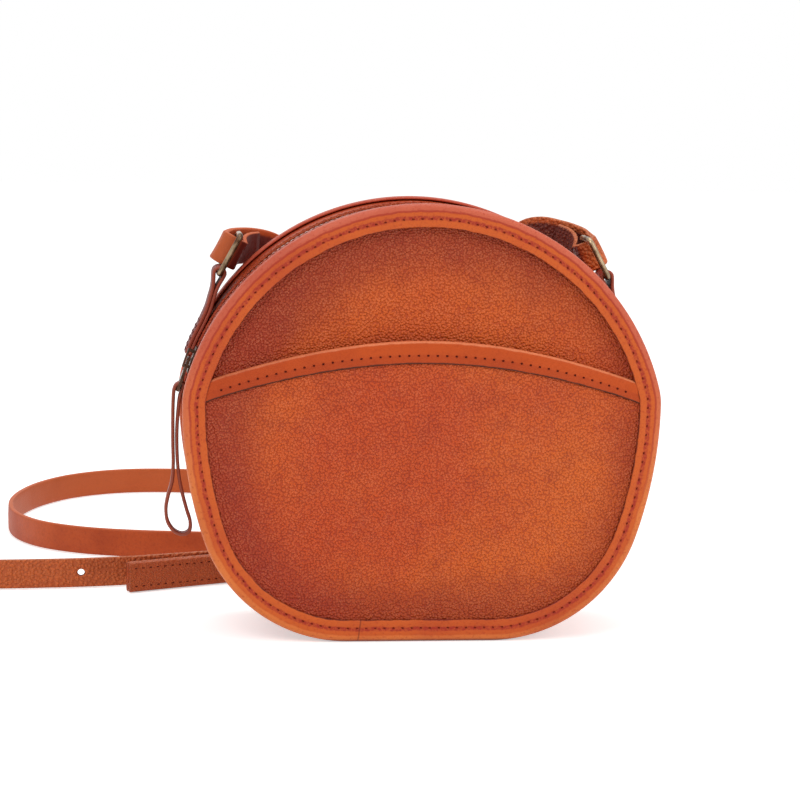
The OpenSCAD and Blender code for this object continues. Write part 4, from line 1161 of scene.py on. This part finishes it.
def finish_for(name):
    """The bag's finishes, each made once."""
    if name in FINISHES:
        return FINISHES[name]
    colour = bpy.context.scene.bag_colours
    grain = bpy.context.scene.bag_sizes.grain
    panel, light, dark = tuple(colour.panel), tuple(colour.panel_light), tuple(colour.burnish_and_shade)
    pebble_highlight, edge, sewn = tuple(colour.pebble_highlight), tuple(colour.edge), tuple(colour.thread)
    hide = panel, dark, light, pebble_highlight, grain
    makers = {
        "panel": lambda: leather("Panel leather", *hide, burnish_and_shade=(9.0, 42.0, 0.7)),
        "pocket": lambda: leather("Pocket leather", *hide, burnish_and_shade=(9.0, 36.0, 0.6)),
        "gusset": lambda: leather("Gusset leather", *hide, False, (0.0, 10.0, 0.45)),
        "tab": lambda: strap_leather(
            "Tab leather", srgb(150, 52, 34), srgb(96, 28, 24), srgb(160, 72, 52), srgb(90, 28, 26)),
        "band": lambda: band_leather(
            "Band leather", srgb(194, 76, 18), srgb(226, 128, 84), srgb(150, 42, 12)),
        "binding": lambda: binding_leather(
            "Binding leather", edge, srgb(202, 94, 64), srgb(164, 44, 24), srgb(206, 92, 30),
            srgb(96, 24, 10)),
        "strap": lambda: strap_leather(
            "Strap leather", srgb(190, 80, 28), srgb(140, 44, 16), srgb(198, 98, 54), srgb(184, 90, 42),
            FOLD_SHADE_COLOUR, False, STRAP_GRAIN, SEWN_END_FROM),
        "tail": lambda: strap_leather(
            "Pebbled strap leather", srgb(238, 116, 52), srgb(100, 30, 14), srgb(212, 120, 76),
            srgb(192, 94, 46), FOLD_SHADE_COLOUR, True, TAIL_GRAIN),
        "sewn_end": lambda: strap_leather(
            "Sewn end leather", srgb(196, 82, 32), srgb(120, 34, 16), srgb(208, 112, 70),
            srgb(196, 86, 36), grain=STRAP_GRAIN),
        "thong": lambda: strap_leather(
            "Thong leather", srgb(132, 48, 34), srgb(84, 26, 20), srgb(150, 74, 54), srgb(156, 80, 60)),
        "thread": lambda: thread("Waxed thread", sewn, srgb(60, 14, 8)),
        "tonal_thread": lambda: thread("Tonal thread", srgb(134, 40, 22), srgb(92, 24, 12)),
        "brass": lambda: metal("Antique brass", tuple(colour.brass), srgb(84, 58, 42), 0.24),
        "teeth": lambda: metal("Zip teeth", tuple(colour.teeth), srgb(142, 138, 130), 0.28, 220.0),
        "slider": lambda: metal("Slider metal", srgb(96, 72, 58), srgb(50, 36, 30), 0.3),
        "tape": lambda: tape_cloth("Zip tape", srgb(46, 30, 24), srgb(84, 54, 40)),
    }
    FINISHES[name] = makers[name]()
    return FINISHES[name]


def settle(piece, body, slot, *nodes):
    """Lets a piece ride on its body, and stand for the CAD nodes that it dresses."""
    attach(piece, body)
    if nodes:
        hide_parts(*nodes)


def repaint(node, name):
    """Gives a rigid CAD node a better finish."""
    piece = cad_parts[node]
    piece.data.materials.clear()
    piece.data.materials.append(finish_for(name))


# Stage
def set_world(scene):
    """A white background, and a softer white light from all round."""
    world = scene.world or bpy.data.worlds.new("Studio")
    scene.world = world
    world.use_nodes = True
    world.node_tree.nodes.clear()
    sky = Nodes(world.node_tree)
    lit, seen = (sky.add("ShaderNodeBackground", {"Color": WHITE, "Strength": strength}).outputs[0]
                 for strength in (WORLD_STRENGTH, 1.0))
    mix = sky.add("ShaderNodeMixShader", {0: sky.seen_rays(), 1: lit, 2: seen}).outputs[0]
    sky.add("ShaderNodeOutputWorld", {"Surface": mix})


def floor_mesh(name, material):
    half = FLOOR_HALF
    corners = [(-half, -half, 0), (half, -half, 0), (half, half, 0), (-half, half, 0)]
    return new_mesh(name, corners, [(0, 1, 2, 3)], material, smooth=False)


def add_lamp(scene, name, place, size, power):
    """A round soft lamp that is aimed at the bag's middle."""
    light = bpy.data.lights.new(name, "AREA")
    light.shape = "DISK"
    light.size = size
    light.energy = power
    lamp = bpy.data.objects.new(name, light)
    lamp.location = place
    lamp.rotation_euler = (AIM_AT - Vector(place)).to_track_quat("-Z", "Y").to_euler()
    scene.collection.objects.link(lamp)


def add_camera(scene, lens):
    camera = bpy.data.cameras.new("Camera")
    camera.lens = lens
    camera.sensor_width = 36
    camera.clip_start = 0.05
    camera.clip_end = 50
    eye = bpy.data.objects.new("Camera", camera)
    eye.location = CAMERA_AT
    yaw = Matrix.Rotation(-radians(CAMERA_YAW), 3, "Z")
    pitch = Matrix.Rotation(radians(90 - CAMERA_PITCH), 3, "X")
    roll = Matrix.Rotation(radians(CAMERA_ROLL), 3, "Z")
    eye.rotation_euler = (yaw @ pitch @ roll).to_euler()
    scene.collection.objects.link(eye)
    scene.camera = eye


# Operators
class BAG_OT_front(bpy.types.Operator):
    """Build the front panel, the pocket and the band along its mouth"""

    bl_idname = "bag.front"
    bl_label = "Front and Pocket"

    def execute(self, context):
        fill = context.scene.bag_sizes.front_fill
        level = FRONT_SEAM_Y - PANEL_T / 2
        front = panel_mesh("front_leather", level, -1, fill, finish_for("panel"))
        settle(front, "bag", "panel_leather", "front_panel")
        pocket = pocket_mesh("pocket_leather", finish_for("pocket"))
        settle(pocket, "bag", "panel_leather", "pocket_panel")
        settle(band_mesh("mouth_band", finish_for("band")), "bag", "trim_leather", "pocket_band")
        settle(band_stitches("mouth_band_stitches", finish_for("thread")), "bag", "trim_leather")
        return {"FINISHED"}


class BAG_OT_back(bpy.types.Operator):
    """Build the back panel"""

    bl_idname = "bag.back"
    bl_label = "Back Panel"

    def execute(self, context):
        fill = context.scene.bag_sizes.back_fill
        level = BACK_SEAM_Y + PANEL_T / 2
        back = panel_mesh("back_leather", level, 1, fill, finish_for("panel"))
        settle(back, "bag", "panel_leather", "back_panel")
        return {"FINISHED"}


class BAG_OT_bindings(bpy.types.Operator):
    """Build the folded bindings and the stitches that hold them"""

    bl_idname = "bag.bindings"
    bl_label = "Bindings"

    def execute(self, context):
        for name, side, seed in (("front", -1, 11.0), ("back", 1, 29.0)):
            rim = binding_mesh(f"{name}_edge_binding", side, finish_for("binding"), seed)
            settle(rim, "bag", "trim_leather", f"{name}_binding")
            sewn = binding_stitches(f"{name}_edge_stitches", side, finish_for("tonal_thread"))
            settle(sewn, "bag", "trim_leather")
        return {"FINISHED"}


class BAG_OT_gussets(bpy.types.Operator):
    """Build the gusset under the bag, its two ends and the two strips beside the zip"""

    bl_idname = "bag.gussets"
    bl_label = "Gussets"

    def execute(self, context):
        dip = context.scene.bag_sizes.gusset_dip
        finish = finish_for("gusset")
        lower = gusset_mesh("lower_gusset_leather", LOWER_ARCS, FRONT_SEAM_Y, BACK_SEAM_Y, dip,
                            finish, 3.0)
        settle(lower, "bag", "panel_leather", "lower_gusset")
        for name, side in (("left", -1), ("right", 1)):
            settle(zip_end_mesh(f"zip_end_{name}_leather", side, finish), "bag", "panel_leather")
        lane = LANE_W / 2
        strips = (("front", -1, FRONT_SEAM_Y, -lane), ("back", 1, lane, BACK_SEAM_Y))
        for name, side, from_y, to_y in strips:
            strip = gusset_mesh(f"zip_gusset_{name}_leather", UPPER_ARCS, from_y, to_y, ZIP_GUSSET_DIP,
                                finish, 8.0)
            settle(strip, "bag", "panel_leather", f"zip_gusset_{name}")
            sewn = edge_stitches(f"zip_gusset_{name}_stitches", UPPER_ARCS,
                                 side * (lane + ZIP_STITCH_W), finish_for("tonal_thread"))
            settle(sewn, "bag", "trim_leather")
        return {"FINISHED"}


class BAG_OT_zip(bpy.types.Operator):
    """Build the zip's tapes and the thong, and finish its teeth, slider and puller"""

    bl_idname = "bag.zip"
    bl_label = "Zip"

    def execute(self, context):
        for name, side in (("front", -1), ("back", 1)):
            tape = tape_mesh(f"zip_tape_{name}_cloth", side, finish_for("tape"))
            settle(tape, "bag", "zip_tape", f"zip_tape_{name}")
            repaint(f"zip_teeth_{name}", "teeth")
        repaint("zip_stops", "teeth")
        repaint("zip_slider", "slider")
        repaint("zip_puller", "slider")
        path = smooth_path([(x, 0, z) for x, z in THONG], 1.0, closed=True)
        widths = [Vector((0, 1, 0))] * len(path)
        finish = finish_for("thong")
        thong = strip_mesh("zip_thong_leather", path, widths, THONG_W, THONG_T, finish, closed=True)
        settle(thong, "puller", "thong_leather", "zip_thong")
        return {"FINISHED"}


class BAG_OT_rings(bpy.types.Operator):
    """Build the tabs with their stitches, and finish the rings"""

    bl_idname = "bag.rings"
    bl_label = "Tabs and Rings"

    def execute(self, context):
        for name, side in (("left", -1), ("right", 1)):
            tab = tab_mesh(f"ring_tab_{name}_leather", side, finish_for("tab"))
            settle(tab, "bag", "trim_leather", f"ring_tab_{name}")
            sewn = tab_stitches(f"ring_tab_{name}_stitches", side, finish_for("thread"))
            settle(sewn, "bag", "trim_leather")
            repaint(f"ring_{name}", "brass")
        return {"FINISHED"}


class BAG_OT_straps(bpy.types.Operator):
    """Build the two straps, the backing of the sewn end, the keeper and the buckle's finish"""

    bl_idname = "bag.straps"
    bl_label = "Straps and Buckle"

    def execute(self, context):
        finish = finish_for("strap")
        keeper = keeper_mesh("strap_keeper_leather", finish_for("tab"))
        settle(keeper, "bag", "strap_leather", "strap_keeper")
        behind = backing_rows()
        backing, _ = strap_mesh("strap_backing_leather", behind, finish_for("sewn_end"))
        settle(backing, "bag", "strap_leather", "strap_backing")
        for node in ("buckle_frame", "buckle_prong"):
            repaint(node, "brass")
        lift = STRAP_T / 2 - STRAP_STITCH_SINK
        rows = (("end", STRAP_END, -lift, "under"), ("backing", behind, lift, "over"))
        for word, offset in (("low", -STRAP_STITCH_OFFSET), ("high", STRAP_STITCH_OFFSET)):
            for ply, route, rise, face in rows:
                sewn = strap_stitches(f"strap_{ply}_stitches_{word}_{face}", route, offset, rise,
                                      finish_for("thread"))
                settle(sewn, "bag", "strap_leather")
        short, path = strap_mesh("strap_short_leather", STRAP_SHORT + STRAP_END, finish)
        settle(short, "bag", "strap_leather", "strap_short")
        tail, path = strap_mesh("strap_long_leather", STRAP_LONG, finish_for("tail"))
        punch(tail, HOLE_AT, HOLE_R)
        settle(tail, "bag", "panel_leather", "strap_long")
        return {"FINISHED"}


class BAG_OT_stage(bpy.types.Operator):
    """Set the floor, the soft lights and the camera"""

    bl_idname = "bag.stage"
    bl_label = "Stage"

    def execute(self, context):
        scene = context.scene
        scene.view_settings.view_transform = "Standard"
        set_world(scene)
        floor_mesh("studio_floor", floor_finish())
        for name, place, size, share in LAMPS:
            add_lamp(scene, name, place, size, share * scene.bag_sizes.key_power)
        add_camera(scene, scene.bag_sizes.lens)
        return {"FINISHED"}


class BAG_PT_panel(bpy.types.Panel):
    """Sidebar panel with the bag's settings, and a button for each step that builds it"""

    bl_idname = "BAG_PT_panel"
    bl_label = "Circle Bag"
    bl_space_type = "VIEW_3D"
    bl_region_type = "UI"
    bl_category = "Circle Bag"

    def draw(self, context):
        column = self.layout.column()
        for group in (context.scene.bag_sizes, context.scene.bag_colours):
            for key in group.__annotations__:
                column.prop(group, key)
        for operator in OPERATORS:
            column.operator(operator.bl_idname)


OPERATORS = (
    BAG_OT_stage, BAG_OT_straps, BAG_OT_front, BAG_OT_back, BAG_OT_bindings, BAG_OT_gussets,
    BAG_OT_zip, BAG_OT_rings,
)
CLASSES = (BagColours, BagSizes, *OPERATORS, BAG_PT_panel)


def register():
    for cls in CLASSES:
        bpy.utils.register_class(cls)
    bpy.types.Scene.bag_colours = PointerProperty(type=BagColours)
    bpy.types.Scene.bag_sizes = PointerProperty(type=BagSizes)


def unregister():
    del bpy.types.Scene.bag_sizes
    del bpy.types.Scene.bag_colours
    for cls in reversed(CLASSES):
        bpy.utils.unregister_class(cls)


def main():
    register()
    bpy.ops.bag.stage()
    bpy.ops.bag.straps()
    bpy.ops.bag.front()
    bpy.ops.bag.back()
    bpy.ops.bag.bindings()
    bpy.ops.bag.gussets()
    bpy.ops.bag.zip()
    bpy.ops.bag.rings()


if __name__ == "__main__":
    main()
